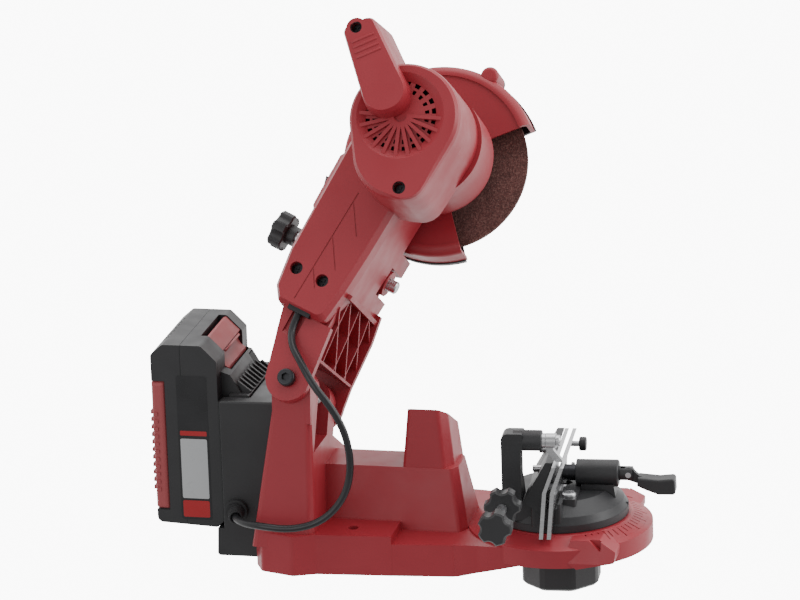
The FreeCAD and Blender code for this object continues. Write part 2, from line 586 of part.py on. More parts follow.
stem_solid = loft([stem(50, 16.6, 12.4, 14.4, 5, 2.2), stem(58, 16.2, 12.0, 14.0, 5, 2.0), stem(72, 15.4, 11.2, 13.3, 5, 1.4), stem(90, 14.4, 9.9, 12.4, 4.5, 0.4),
                   stem(94.5, 13.2, 8.8, 11.4, 4, -0.8)])
near_half = stem_solid.common(box(-120, 120, 0, 300, 72, 120))
cov = cov.fuse(near_half)
# hollow inside
cin = loft([barrel_wire(-1.6, N_PART - 1, -1.9), barrel_wire(-1.8, 40, -2.0), barrel_wire(-2.4, 74, -2.4), barrel_wire(-3.6, N_CAP - 3.0, -3.4)])
ain = loft([arm_wire(-2.4, N_PART - 1), arm_wire(-3.0, 37), arm_wire(-4.4, N_ARM - 3)])
ain = ain.common(box(-80, 80, 41.6, 142, 0, 80))
cov = cov.cut(cin).cut(ain)
sin_ = loft([stem(57, 13.2, 8.8, 11.4, 3, -0.6), stem(90.5, 11.2, 6.8, 9.6, 3, -2.4)])
cov = cov.cut(sin_.common(box(-120, 120, 0, 300, 60, 91.5)).cut(
    cyl(V(HS[0], HS[1], 50), ZV, 6.0, 60)))
# dished vent ring with two rows of curved slots between radial ribs
dish = cone(V(DISH[0], DISH[1], N_CAP - 2.6), ZV, 21.0, 26.5, 2.61)
dish = dish.cut(stem_solid)
cov = cov.cut(dish.common(box(-80, 80, 100, 260, N_CAP - 2.6, N_CAP + 1)))
cut_list = []
for (r0, r1) in ((14.6, 17.2), (18.8, 21.4)):
    ringc = tube(V(DISH[0], DISH[1], N_CAP - 10), ZV, r1, r0, 12)
    cut_list.append(ringc)
slots = cut_list[0].fuse(cut_list[1])
rad = []
for k in range(0, 20):
    ang = -172 + k * 18.0
    rr = box(6, 30, -1.5, 1.5, N_CAP - 14, N_CAP + 6)
    rr.rotate(V(0, 0, 0), ZV, ang)
    rr.translate(V(DISH[0], DISH[1], 0))
    rad.append(rr)
slots = slots.cut(rad)
guardz = stem(N_CAP, 15.4, 11.2, 13.3, 5, 1.4)
slots = slots.cut(Part.Face(guardz).extrude(V(0, 0, 8)).fuse(Part.Face(stem(60, 15.4, 11.2, 13.3, 5, 1.4)).extrude(V(0, 0, 30))))
cov = cov.cut(slots)
# raised ribs over the dish, fanning from the handle's foot
fan = []
for k in range(0, 11):
    ang = -158 + k * 18.0
    rr = box(4, 25.0, -1.1, 1.1, N_CAP - 4.5, N_CAP - 0.6)
    rr.rotate(V(0, 0, 0), ZV, ang)
    rr.translate(V(DISH[0], DISH[1], 0))
    fan.append(rr)
cov = cov.fuse(fan)
# screw recesses: two on the arm, one on the motor end, one at the handle's tip
REC = [(-26.7, 60.9, N_ARM), (-8.8, 61.0, N_ARM), (17.7, 126.6, N_CAP), (HS[0], HS[1], 94.5)]
for (a, b, n) in REC:
    post = cyl(V(a, b, N_PART + (0 if n < 90 else 44)), ZV, 6.2, n - N_PART - 1.5 - (0 if n < 90 else 44))
    cov = cov.fuse(post)
    cov = cov.cut(cyl(V(a, b, n - 9.0), ZV, 3.9 if n < 90 else 3.6, 14))
    cov = cov.cut(cyl(V(a, b, 0), ZV, 1.9, 120))
# embossed slanted frame on the arm cover
def strip(a0, b0, a1, b1, w, n0, n1):
    d = V(a1 - a0, b1 - b0, 0)
    L = d.Length
    s = box(0, L, -w / 2, w / 2, n0, n1)
    s.rotate(V(0, 0, 0), ZV, math.degrees(math.atan2(d.y, d.x)))
    s.translate(V(a0, b0, 0))
    return s


for g in ((-18.5, 44, -15.0, 118, 0.8), (-15.2, 112, -3.0, 94, 0.8), (-16.4, 88, -4.4, 70, 0.8), (-17.6, 66, -10.4, 55, 0.8)):
    cov = cov.cut(strip(g[0], g[1], g[2], g[3], g[4], N_ARM - 0.5, N_ARM + 1))
# cable outlet in the bottom edge
cov = cov.cut(box(-20.5, -5.6, 30, 44, 32.4, 40.0))
cov = cov.cut(front_cut.common(box(-2, 40, -20, 62, N_PART - 1, 60)))
cov = one(cov.cut(far))
save("head_cover", head(cov))

grom = box(-20.4, -5.7, 37.4, 42.6, 32.6, 39.9)
grom = grom.cut(box(-40, 20, 30, 38.65, 20, 35.95)).cut(far)
grom = grom.cut(cyl(V(-13.6, 30, 36.3), V(0, 1, 0), 2.42, 20.0).fuse(cyl(V(-13.6, 30, 36.6), V(0, 1, 0), 2.42, 20.0)))
save("cable_grommet", head(one(grom)))

# far half of the handle
hb = stem_solid.common(box(-120, 120, 0, 300, 50, 71.9))
hb = hb.cut(loft([barrel_wire(1.35, 40), barrel_wire(0.8, 74)]))
hb = hb.cut(cyl(V(HS[0], HS[1], 64), ZV, 1.9, 20))
hb = hb.cut(cov)
save("handle_back", head(one(hb)))

# screws in their recesses
scr = []
for (a, b, n) in REC:
    L = 26 if n < 60 else 20
    s = cyl(V(a, b, n - 8.9 - L), ZV, 1.8, L).fuse(cyl(V(a, b, n - 8.9), ZV, 3.4, 2.2))
    cross_s = box(a - 2.0, a + 2.0, b - 0.4, b + 0.4, n - 7.6, n - 6).fuse(box(a - 0.4, a + 0.4, b - 2.0, b + 2.0, n - 7.6, n - 6))
    scr.append(head(s.cut(cross_s)))

# ---- motor --------------------------------------------------------------
C0 = V(WHEEL_A, WHEEL_B, 0)


def ax(n):
    return V(WHEEL_A, WHEEL_B, n)


can = tube(ax(-10), ZV, 25.0, 23.0, 62).fuse(tube(ax(-10), ZV, 24.0, 8.4, 2.0))
can = can.cut(cyl(ax(-15), ZV, 8.35, 10))
save("motor_can", head(can))
mags = []
for k in (0, 180):
    m = tube(ax(0), ZV, 22.9, 19.6, 40).common(
        prism([(0, 0, 0), (40, -34, 0), (40, 34, 0)], -60, 60).translated(C0) if k == 0 else
        prism([(0, 0, 0), (-40, 34, 0), (-40, -34, 0)], -60, 60).translated(C0))
    mags.append(head(m))
save("motor_magnets", group(mags))
endp = tube(ax(52.1), ZV, 25.0, 8.1, 4.0)
for k in range(4):
    a = math.radians(45 + 90 * k)
    endp = endp.cut(cyl(ax(50) + V(16.5 * math.cos(a), 16.5 * math.sin(a), 0), ZV, 4.0, 10))
save("brush_plate", head(endp))
bear_f = tube(ax(-20.9), ZV, 10.95, 4.03, 7.0)
save("front_bearing", head(bear_f))
bear_r = tube(ax(50.2), ZV, 8.0, 3.03, 5.0)
save("rear_bearing", head(bear_r))

# guard: near half is a dish round the wheel, far cover closes it
def sector(r, a0, a1, n0, n1, ri=0.0):
    """Pie slice from a0 to a1 degrees about the wheel axis."""
    c = ax(n0)
    w = cyl(c, ZV, r, n1 - n0)
    a0, a1 = math.radians(a0), math.radians(a1)
    pts = [(WHEEL_A, WHEEL_B, 0)]
    steps = 8
    for i in range(steps + 1):
        t = a0 + (a1 - a0) * i / steps
        pts.append((WHEEL_A + r * 2 * math.cos(t), WHEEL_B + r * 2 * math.sin(t), 0))
    wd = prism(pts, n0 - 1, n1 + 1)
    s = w.common(wd)
    return s


OP0, OP1 = -47.0, 48.8
gh = cyl(ax(-50.0), ZV, GUARD_R, 50.0 + N_GUARD)
gh = fil(gh, 5.5, lambda e: abs(mid(e).z - N_GUARD) < 0.01)
gin = cyl(ax(-51.0), ZV, GUARD_R - 2.4, 51.0 + N_GUARD - 2.6)
gin = fil(gin, 3.6, lambda e: abs(mid(e).z - (N_GUARD - 2.6)) < 0.01)
gh = gh.cut(gin)
# step between rim band and flat web
gh = gh.cut(cyl(ax(N_GUARD - 1.1), ZV, 53.6, 2.0).cut(cyl(ax(N_GUARD - 3), ZV, 29.0, 6)))
op = sector(GUARD_R + 5, OP0, OP1, -56, -20)
core = cyl(ax(-60), ZV, 33.0, 60)
gh = gh.cut(op.cut(core))
gh = gh.cut(op.common(cyl(ax(-60), ZV, GUARD_R + 6, 60.0 + N_GUARD - 2.6)))
gh = gh.cut(cyl(ax(-60), ZV, 14.0, 60))
lug_c = (-1.0, 228.0)
lug = cyl(V(lug_c[0], lug_c[1], -50.0), ZV, 5.6, 21.0)
lug = fil(lug, 2.6, lambda e: abs(mid(e).z + 29.0) < 0.01)
lug = lug.fuse(box(lug_c[0] - 5.4, lug_c[0] + 5.4, lug_c[1] - 9, lug_c[1], -50.0, -34.0)).cut(cyl(ax(-51), ZV, GUARD_R - 2.6, 40))
gh = gh.fuse(lug)
gh = gh.cut(cyl(V(lug_c[0], lug_c[1] + 0.6, -50.5), ZV, 1.75, 16))
# clear the motor barrel, the arm and the shaft
gh = gh.cut(loft([arm_wire(0.4, N_FAR - 1), arm_wire(0.9, N_PART)]).cut(
    box(-80, 80, 62, 300, N_FAR - 5, -20.3).common(box(-80, 80, 104.3, 300, -80, -20.3))))
gh = one(gh)
save("guard_housing", head(gh))
gc = cyl(ax(-53.0), ZV, GUARD_R + 0.9, 2.8)
gc = fil(gc, 1.0, lambda e: abs(mid(e).z + 53.0) < 0.01)
gc = gc.fuse(tube(ax(-50.3), ZV, GUARD_R + 0.9, GUARD_R + 0.05, 2.4))
gc = gc.cut(sector(GUARD_R + 8, OP0 - 1.0, OP1 + 1.0, -58, -40).cut(cyl(ax(-70), ZV, 30.0, 60)))
gc = gc.fuse(cyl(V(lug_c[0], lug_c[1], -53.0), ZV, 5.6, 2.8))
gc = gc.cut(cyl(V(lug_c[0], lug_c[1], -50.15), ZV, 6.4, 4.0).fuse(box(lug_c[0] - 5.8, lug_c[0] + 5.8, lug_c[1] - 9, lug_c[1], -50.15, -46)).cut(cyl(ax(-60), ZV, GUARD_R - 0.5, 30)))
gc = gc.cut(cyl(V(lug_c[0], lug_c[1] + 0.6, -58), ZV, 1.9, 14))
gc = gc.cut(cyl(ax(-60), ZV, 13.0, 20))
for k in range(5):
    a = math.radians(96 + 36 * k)
    gc = gc.cut(cyl(ax(-58) + V(44 * math.cos(a), 44 * math.sin(a), 0), ZV, 3.2, 20))
gc = one(gc)
save("guard_cover", head(gc))
gs = cyl(V(lug_c[0], lug_c[1] + 0.6, -55.2), ZV, 3.2, 2.1).fuse(cyl(V(lug_c[0], lug_c[1] + 0.6, -53.2), ZV, 1.6, 15))
scr.append(head(gs))
save("shell_screws", group(scr))

# ---- rotor --------------------------------------------------------------
shaft = cyl(ax(-57.5), ZV, 4.0, 57.5 + 50.0).fuse(cyl(ax(50.0), ZV, 3.0, 12.0))
shaft = shaft.fuse(cyl(ax(-36.2), ZV, 6.0, 14.6))
save("motor_shaft", head(shaft))
arm_sl = []
core = cyl(ax(0), ZV, 18.6, 34).fuse(cyl(ax(-1.0), ZV, 14.0, 38.6))
for k in range(12):
    a = math.radians(30 * k)
    core = core.cut(box(15.2, 20, -1.0, 1.0, -5, 40).rotated(V(0, 0, 0), ZV, 30 * k).translated(C0))
core = core.cut(cyl(ax(-5), ZV, 4.0, 60))
comm = tube(ax(38.2), ZV, 9.0, 4.0, 11.0)
save("armature", group([head(core), head(comm)]))
fan_s = tube(ax(-6.6), ZV, 7.5, 4.0, 5.0).fuse(tube(ax(-6.6), ZV, 21.0, 7.0, 1.2))
bl = []
for k in range(11):
    b = box(8, 20.6, -0.6, 0.6, -5.6, -1.6)
    b.rotate(V(8, 0, 0), ZV, 18)
    b.rotate(V(0, 0, 0), ZV, k * 360 / 11.0)
    bl.append(b.translated(C0))
fan_s = fan_s.fuse(bl)
save("cooling_fan", head(one(fan_s)))
fl_in = cyl(ax(-38.4), ZV, 17.0, 6.0).cut(cyl(ax(-40), ZV, 15.0, 0.6 + 1.6)).cut(cyl(ax(-60), ZV, 6.0, 60))
fl_in = cyl(ax(-38.4), ZV, 17.0, 2.4).fuse(cyl(ax(-36.1), ZV, 10.0, 3.6)).fuse(cyl(ax(-41.2), ZV, WHEEL_BORE - 0.05, 2.9)).cut(
    cyl(ax(-60), ZV, 4.0, 23.8)).cut(cyl(ax(-36.2), ZV, 6.0, 30))
save("inner_flange", head(fl_in))
wh = tube(ax(WHEEL_N - WHEEL_T / 2), ZV, WHEEL_R, WHEEL_BORE, WHEEL_T)
save("grinding_wheel", head(wh))
fl_o = cyl(ax(-44.2), ZV, 17.0, 2.6).cut(cyl(ax(-60), ZV, 4.0, 60))
save("outer_flange", head(fl_o))
an = prism([(7.4 * math.cos(math.radians(60 * k)), 7.4 * math.sin(math.radians(60 * k)), 0) for k in range(6)], -49.6, -44.2)
an = an.translated(C0).cut(cyl(ax(-60), ZV, 4.0, 60))
save("arbor_nut", head(an))

# ---- switch in the back of the arm --------------------------------------
sw_a = -42.0
fr = box(-44.6, -43.02, SW_B - 12, SW_B + 12, SW_N - 8.5, SW_N + 8.5)
fr = cham(fr, 0.8, lambda e: abs(mid(e).x + 44.6) < 0.01)
fr = fr.fuse(box(-43.1, sw_a + 13.0, SW_B - 9.5, SW_B + 9.7, SW_N - 6.4, SW_N + 6.4))
fr = fr.cut(box(sw_a - 10, sw_a + 6.0, SW_B - 8.5, SW_B + 8.7, SW_N - 5.4, SW_N + 5.4))
fr = fr.cut(box(sw_a + 5.9, sw_a + 10, SW_B - 7, SW_B + 7, SW_N - 4.4, SW_N + 4.4))
fr = fr.cut(cyl(V(sw_a + 1.6, SW_B, SW_N - 6.0), ZV, 1.25, 12.0))
save("switch_body", head(fr))
rk = prism([(sw_a + 4.2, SW_B - 5.4, 2), (sw_a - 2.6, SW_B - 7.2, 0), (sw_a - 3.2, SW_B, 0), (sw_a - 5.0, SW_B + 6.9, 0),
            (sw_a + 4.2, SW_B + 5.4, 2)], SW_N - 5.0, SW_N + 5.0)
rk = rk.fuse(cyl(V(sw_a + 1.6, SW_B, SW_N - 5.9), ZV, 1.2, 11.8))
save("switch_rocker", head(rk))

# ---- depth stop rod and knob -------------------------------------------
ROD0, ROD1 = -66.0, 14.6
rod = cyl(V(ROD0, ROD_B, ROD_N), XV, 4.0, ROD1 - ROD0)
thr = []
k = ROD0 + 12
while k < ROD1 - 1.5:
    thr.append(tube(V(k, ROD_B, ROD_N), XV, 4.2, 3.55, 0.62))
    k += 1.25
rod = rod.cut(thr)
rod = cham(rod, 0.8, lambda e: abs(mid(e).x - ROD1) < 0.01)
save("depth_rod", head(rod))


def star(c, d_axis, r, depth, length, lobes=6, hub=0.0):
    """Star knob with its axis along local Z, then turned to the wanted axis."""
    s = cyl(V(0, 0, 0), ZV, r, length)
    for k in range(lobes):
        a = math.radians(360.0 / lobes * (k + 0.5))
        rr = r * 0.42
        s = s.cut(cyl(V((r + rr - depth) * math.cos(a), (r + rr - depth) * math.sin(a), -1), ZV, rr, length + 2))
    s = cham(s, 1.0, lambda e: abs(mid(e).z - length) < 0.01)
    s = cham(s, 0.8, lambda e: abs(mid(e).z) < 0.01)
    if hub > 0:
        s = s.fuse(cyl(V(0, 0, -hub), ZV, r * 0.52, hub + 0.5))
    return s


def to_axis(s, c, d):
    s = s.copy()
    s.Placement = FreeCAD.Placement(c, FreeCAD.Rotation(ZV, d)).multiply(s.Placement)
    return s


kb = star(None, None, 12.0, 2.2, 9.5, 6, 5.0)
kb = to_axis(kb, V(-62.5, ROD_B, ROD_N), V(-1, 0, 0))
kb = kb.cut(cyl(V(-66.4, ROD_B, ROD_N), XV, 4.0 + RUN, 30))
save("depth_knob", head(kb))
ins = tube(V(-38.6, ROD_B, ROD_N), XV, 5.98, 4.03, 9.4).fuse(tube(V(-40.6, ROD_B, ROD_N), XV, 7.4, 4.03, 2.0))
save("depth_insert", head(ins))

# =========================================================================
# VISE on the swivel plate (local frame: x across the rails, y along them)
# =========================================================================
PZ = 27.2
CH = 51.6                 # height of the clamp's axis
RX0, RX1 = -7.0, -2.3     # foot of the fixed and of the moving rail
CSX, CSY, CSZ = -25.5, -41.25, 85.6
pl = cyl(V(0, 0, PZ), ZV, PLATE_R, 4.4).fuse([cone(V(0, 0, PZ + 4.4), ZV, PLATE_R - 0.3, 38.8, 4.4),
                                             cone(V(0, 0, PZ + 8.8), ZV, 38.8, 29.5, 6.9)])
# raised bed for the rails and bridge to the clamp housing
bed = prism([(-13, -40.5, 2), (5.5, -40.5, 2), (5.5, 38, 2), (-13, 38, 2)], PZ + 3, 45)
bedr = prism([(2, -31, 2), (13.4, -31, 2), (13.4, 28, 2), (2, 28, 2)], PZ + 3, 45)
pl = pl.fuse([bed, bedr])
# sloping back wall that carries the fixed rail
wall = prism([(-10.5, 42, 0), (-16.9, 48.1, 1), (-3.1, 72.2, 1), (1.3, 72.2, 0), (-4.6, 56.1, 0), (-5.8, 43, 0), (-5.8, 42, 0)], -43.5, 22.5, "xz")
# channel: rails stand in it
pl = pl.cut(box(-5.75, 3.2, -60, 60, 42.2, 60))
# slide way for the chain stop on the near left
way = prism([(-31, 33, 0), (-10, 33, 0), (-10, 44, 0), (-12.5, 45.5, 0), (-31, 45.5, 0)], -36, -8, "xz")
post = prism([(-31.2, 45, 0), (-18.0, 45, 0), (-19.6, 60, 3), (-30.4, 60, 3)], -27.5, -20, "xz")
pl = pl.fuse([wall, way, post])
pl = pl.cut(cyl(V(CSX, -60, 54.5), YV, 3.0 + RUN, 37))
# clamp housing seat
seat = prism([(13, 38, 0), (35, 36, 0), (33.5, 46.5, 0), (14, 46.5, 0)], -8.0, 8.0, "xz")
pl = pl.fuse(seat)
pl = pl.cut(cyl(V(10.2, 0, CH), XV, 8.25, 50))
pl = pl.cut(cyl(V(0, 0, 20), ZV, 5.02, 40)).cut(
    prism([(8.2 * math.cos(math.radians(60 * k)), 8.2 * math.sin(math.radians(60 * k)), 0) for k in range(6)], 35.5, 46))
pl = pl.cut(cyl(V(8.4, -24.0, 30), ZV, 2.6, 30))
pl = pl.cut(cyl(V(-20, 11, 62.0), XV, 2.1, 40)).cut(cyl(V(-20, -24, 62.0), XV, 2.1, 40))
# pointer beside the scale
ptr = prism([(PLATE_R - 3, -2.2, 0), (PLATE_R + 0.0, 0, 0), (PLATE_R - 3, 2.2, 0)], PZ + 4, PZ + 6.2)
pl = pl.fuse(ptr)
pl = one(pl)
save("swivel_plate", table(pl))


def rail(x0, y0, y1, zb=27.0):
    t = 2.4
    return prism([(x0, zb, 0), (x0 + 2.6, 56.0, 0), (x0 + 8.5, 72.0, 0), (x0 + 8.5 + t, 72.0, 0), (x0 + 2.6 + t, 56.0, 0), (x0 + t, zb, 0)],
                 y0, y1, "xz")


RL_Y0, RL_Y1 = -52.0, 22.5
low_cut = box(-12, 20, -44.8, 60, 20, 42.6)
fixed = rail(RX0, RL_Y0, RL_Y1).cut(low_cut)
for y in (-24, 11):
    fixed = fixed.cut(cyl(V(-14.0, y, 62.0), XV, 2.04, 20))
save("fixed_rail", table(one(fixed)))
ps = cyl(V(8.4, -24.0, 34), ZV, 2.5, 11.0).fuse(fil(cyl(V(8.4, -24.0, 45.0), ZV, 4.4, 2.4), 1.2, lambda e: abs(mid(e).z - 47.4) < 0.01))
ps = ps.cut(box(2, 15, -24.6, -23.4, 46.2, 49))
rs = [cyl(V(-13.0, y, 62.0), XV, 2.0, 11.3) for y in (-24, 11)]
save("rail_screws", group([table(r) for r in rs] + [table(ps)]))
mv = rail(RX1, RL_Y0, RL_Y1).cut(low_cut)
mv = mv.fuse(cyl(V(3.9, 20.0, 63.0), XV, 1.7, 7.0))
mv = mv.cut(rail(RX1 - 3.0, 10, 26, 50).common(box(-10, 5.4, 10, 26, 60, 66)).cut(rail(RX1, RL_Y0, RL_Y1)))
save("moving_rail", table(one(mv)))
gcap = cyl(V(10.2, 20.0, 63.0), XV, 4.3, 4.4)
gcap = fil(gcap, 0.9, lambda e: abs(mid(e).x - 14.6) < 0.01 or abs(mid(e).x - 10.2) < 0.01)
gcap = gcap.cut(cyl(V(9, 20.0, 63.0), XV, 1.7, 1.95))
save("guide_cap", table(gcap))
push = cyl(V(1.2, 0, CH), XV, 4.9, 8.8).fuse(cyl(V(9, 0, CH), XV, 4.0, 27.0))
push = push.cut(rail(RX1, RL_Y0, RL_Y1)).cut(rail(RX1 - 0.05, RL_Y0, RL_Y1)).cut(rail(RX1 - 1.5, RL_Y0, RL_Y1))
save("push_rod", table(one(push)))
hub = cyl(V(10.6, 0, CH), XV, 8.2, 25.7)
hub = fil(hub, 1.4, lambda e: abs(mid(e).x - 36.3) < 0.01)
hub = hub.fuse(cyl(V(34.5, 0, CH), XV, 4.4, 10.0))
hub = hub.cut(cyl(V(9, 0, CH), XV, 4.05, 27.6)).cut(box(37.2, 50, -2.2, 2.2, 40, 60))
hub = hub.cut(cyl(V(42.0, -10, CH), YV, 1.75, 20))
save("clamp_housing", table(one(hub)))
# cam lever on a pin
lv = cyl(V(42.0, -1.9, CH), YV, 4.0, 3.8).fuse(
    prism([(41, 47.9, 0), (48.5, 45.4, 0), (52.0, 44, 0), (52.0, 49.8, 0), (48.5, 50.6, 0), (43, 55.3, 0)], -1.9, 1.9, "xz"))
lv2 = prism([(47.3, 45.0, 0), (52.3, 42.6, 0), (60.2, 39.7, 0), (70.6, 39.8, 2), (70.2, 50.2, 2), (60.4, 49.2, 6), (47.3, 50.4, 1)], -5.8, 5.8, "xz")
lv2 = fil(lv2, 1.4, lambda e: abs(abs(mid(e).y) - 5.8) < 0.01)
lv = lv.fuse(lv2).cut(cyl(V(42.0, -10, CH), YV, 1.72, 20))
save("cam_lever", table(one(lv)))
save("lever_pin", table(cyl(V(42.0, -4.2, CH), YV, 1.7, 8.4)))

# swivel bolt and the lock knob below the protractor
sb = cyl(V(0, 0, -8.0), ZV, 5.0, 46.0).fuse(
    prism([(8.0 * math.cos(math.radians(60 * k)), 8.0 * math.sin(math.radians(60 * k)), 0) for k in range(6)], 35.6, 41.6))
save("swivel_bolt", table(sb))
nb = 8
ocpts = [(25.0 * math.cos(math.radians(45 * k + 22.5)), 25.0 * math.sin(math.radians(45 * k + 22.5)), 2.5) for k in range(8)]
lk = prism(ocpts, -17.0, 6.0).common(cyl(V(0, 0, -17.0), ZV, 24.3, 23.0))
lk = cham(lk, 1.8, lambda e: abs(mid(e).z + 17.0) < 0.01)
lk = lk.cut(tube(V(0, 0, -3.0), ZV, 20.0, 8.0, 12)).fuse(cyl(V(0, 0, 5.5), ZV, 8.5, 3.8))
lk = lk.cut(cyl(V(0, 0, -9.0), ZV, 5.03, 40))
save("swivel_lock_knob", table(one(lk)))

# chain stop: angled bracket that slides along its way
leg = prism([(-29.0, 46.0, 2), (-29.0, 91.2, 4.0), (-16.0, 91.2, 1.0), (-16.0, 79.4, 2.0), (-17.5, 79.4, 0), (-17.5, 46.0, 1)],
            CSY - 6.25, CSY + 6.25, "xz")
leg = fil(leg, 2.2, lambda e: (abs(mid(e).y - CSY + 6.25) < 0.01 or abs(mid(e).y - CSY - 6.25) < 0.01) and mid(e).z > 48 and mid(e).x < -17.6)
arm_x = fil(cyl(V(-22.0, CSY, 85.6), XV, 6.3, 17.2), 0.8, lambda e: abs(mid(e).x + 4.8) < 0.01)
leg = leg.fuse(arm_x)
leg = leg.cut(cyl(V(CSX, -60, 54.5), YV, 3.03, 40))
leg = leg.cut(cyl(V(-14.0, CSY, CSZ), XV, 2.5, 20))
save("stop_bracket", table(one(leg)))
bu = tube(V(-4.75, CSY, CSZ), XV, 4.4, 2.48, 2.05)
sc = cyl(V(-12.5, CSY, CSZ), XV, 2.45, 16.3).fuse(cyl(V(3.7, CSY, CSZ), XV, 3.4, 2.3))
sc = cham(sc, 0.5, lambda e: abs(mid(e).x - 6.0) < 0.01)
sc = sc.cut(box(5.1, 7, CSY - 4.5, CSY + 4.5, CSZ - 0.5, CSZ + 0.5))
save("stop_bush", table(bu))
save("stop_pivot_screw", table(sc))
# pawl: a bent flap hanging from its sleeve to the chain
pw = cyl(V(-2.4, CSY, CSZ), XV, 4.5, 5.8)
flap = prism([(-2.4, 84.4, 0), (1.7, 84.4, 0), (1.7, 80.6, 3), (7.2, 73.6, 0), (6.8, 72.8, 0), (3.2, 72.8, 0), (-2.4, 79.4, 3)], CSY - 2.0, CSY + 2.0, "xz")
pw = pw.fuse(flap).cut(cyl(V(-5, CSY, CSZ), XV, 2.5, 20))
save("stop_pawl", table(one(pw)))
# adjusting rod with its knob, and the lock knob behind it
ar = cyl(V(CSX, -111.0, 54.5), YV, 3.0, 87.5)
thr = []
k = -98.0
while k < -30:
    thr.append(tube(V(CSX, k, 54.5), YV, 3.2, 2.65, 0.5))
    k += 1.0
ar = ar.cut(thr)
save("stop_adjust_rod", table(ar))
k1 = to_axis(star(None, None, 10.2, 2.0, 10.0, 5, 3.0), V(CSX, -103.0, 54.5), V(0, -1, 0))
k1 = k1.cut(cyl(V(CSX, -111.1, 54.5), YV, 3.0, 20))
save("stop_adjust_knob", table(one(k1)))
k2 = to_axis(star(None, None, 11.0, 2.2, 9.0, 6, 3.0), V(CSX, -66.5, 54.5), V(0, -1, 0))
k2 = k2.cut(cyl(V(CSX, -120.0, 54.5), YV, 3.03, 80))
save("stop_lock_knob", table(one(k2)))

# =========================================================================
# BATTERY PACK
# =========================================================================
bx0, bx1 = BAT_X0, BAT_X1
prof = [(bx0, 22, 4), (bx0, 128.5, 3), (bx0 + 7.5, 135, 3), (-57.5, 135, 3), (-48, 125.5, 2), (-48, 100.5, 1), (bx1, 100, 0), (bx1, 24, 2.5),
        (-51.5, 20, 2)]
body = prism(prof, -BAT_Y, BAT_Y, "xz")
body = fil(body, 3.0, lambda e: abs(abs(mid(e).y) - BAT_Y) < 0.01)
SEAM = -70.5
rear_sh = body.common(box(bx0 - 5, SEAM - 0.1, -60, 60, 0, 200))
front_sh = body.common(box(SEAM + 0.1, 0, -60, 60, 0, 200))
# foot that slides down into the holder, with the grooves for its guide rails
stemb = prism([(bx1 - 1, 58.0, 0), (bx1 - 1, 116, 0), (-42.5, 114, 0), (-36.0, 102.8, 0), (-30.0, 102.8, 1), (-30.0, 58.0, 1)], -27.0, 27.0, "xz")
wing = prism([(-42.4, 58.0, 0), (-42.4, 103.0, 0), (-30.0, 102.8, 1), (-30.0, 58.0, 1)], -30.9, 30.9, "xz")
front_sh = front_sh.fuse([stemb, wing])
for k in range(9):
    y = -24 + 6.0 * k
    front_sh = front_sh.fuse(prism([(-36.4, 102.6, 0), (-38.6, 110.0, 0), (-30.4, 103.6, 0), (-30.4, 102.6, 0)], y - 0.9, y + 0.9, "xz"))
front_sh = front_sh.cut(box(-45.5, -33, -17.5, 17.5, 50, 76))
# room for the cells
cells_room = box(-84.5, SEAM + 1, -33, 33, 25, 124)
rear_sh = rear_sh.cut(box(bx0 + 4, SEAM + 1, -34, 34, 25, 126))
front_sh = front_sh.cut(box(SEAM - 1, -51.0, -34, 34, 25, 118))
# vent slots in the rear top edge
for k in range(7):
    y = -21 + 6.2 * k
    rear_sh = rear_sh.cut(prism([(bx0 - 1, 127.0, 0), (bx0 + 4.4, 137, 0), (bx0 + 9.4, 137, 0), (bx0 - 1, 122.6, 0)], y - 1.2, y + 1.2, "xz").cut(
        prism([(bx0 + 2.2, 118, 0), (bx0 + 2.2, 126.6, 0), (bx0 + 8.4, 132.6, 0), (bx0 + 30, 132.6, 0), (bx0 + 30, 118, 0)], -40, 40, "xz")))
# recess for the grip
grip_zone = prism([(bx0 - 4, 30, 0), (bx0 - 4, 112, 0), (bx0 + 8.2, 112, 0), (bx0 + 8.2, 30, 0)], -60, 60, "xz")
grip_in = prism([(bx0 + 1.6, 20, 0), (bx0 + 1.6, 120, 0), (bx0 + 20, 120, 0), (bx0 + 20, 20, 0)], -BAT_Y + 1.5, BAT_Y - 1.5, "xz")
rear_sh = one(rear_sh.cut(grip_zone.cut(grip_in)))
grip = fil(prism([(bx0 - 0.6, 30.2, 2), (bx0 - 0.6, 111.8, 2), (bx0 + 8.1, 111.8, 1), (bx0 + 8.1, 30.2, 1)], -BAT_Y - 0.3, BAT_Y + 0.3, "xz"),
           3.0, lambda e: abs(abs(mid(e).y) - BAT_Y - 0.3) < 0.01 and mid(e).x < bx0)
grip = grip.cut(grip_in)
for k in range(11):
    z = 42.0 + 4.8 * k
    grip = grip.fuse(box(bx0 - 2.1, bx0 + 0.4, -BAT_Y + 3, BAT_Y - 3, z, z + 2.2).cut(grip_in))
    for sy in (-1, 1):
        y0, y1 = sorted((sy * (BAT_Y - 1), sy * (BAT_Y + 1.0)))
        grip = grip.fuse(box(bx0 + 0.6, bx0 + 3.2, y0, y1, z, z + 2.2).cut(grip_in))
# release button bay in the sloping front edge
bay = prism([(-62.4, 138, 0), (-62.4, 127.2, 0), (-53.4, 108.6, 0), (-44, 108.6, 0), (-44, 138, 0)], -17.0, 26.0, "xz")
front_sh = front_sh.cut(bay)
btn = prism([(-60.0, 133.6, 1.5), (-57.6, 134.2, 1), (-47.2, 124.0, 1), (-45.6, 113.0, 1), (-51.0, 111.0, 1), (-59.8, 128.4, 1)], -16.6, 25.6, "xz")
btn = btn.cut(cyl(V(-43.5, -16.6 - 1, 122.0), YV, 7.0, 48))
save("battery_case_rear", rear_sh)
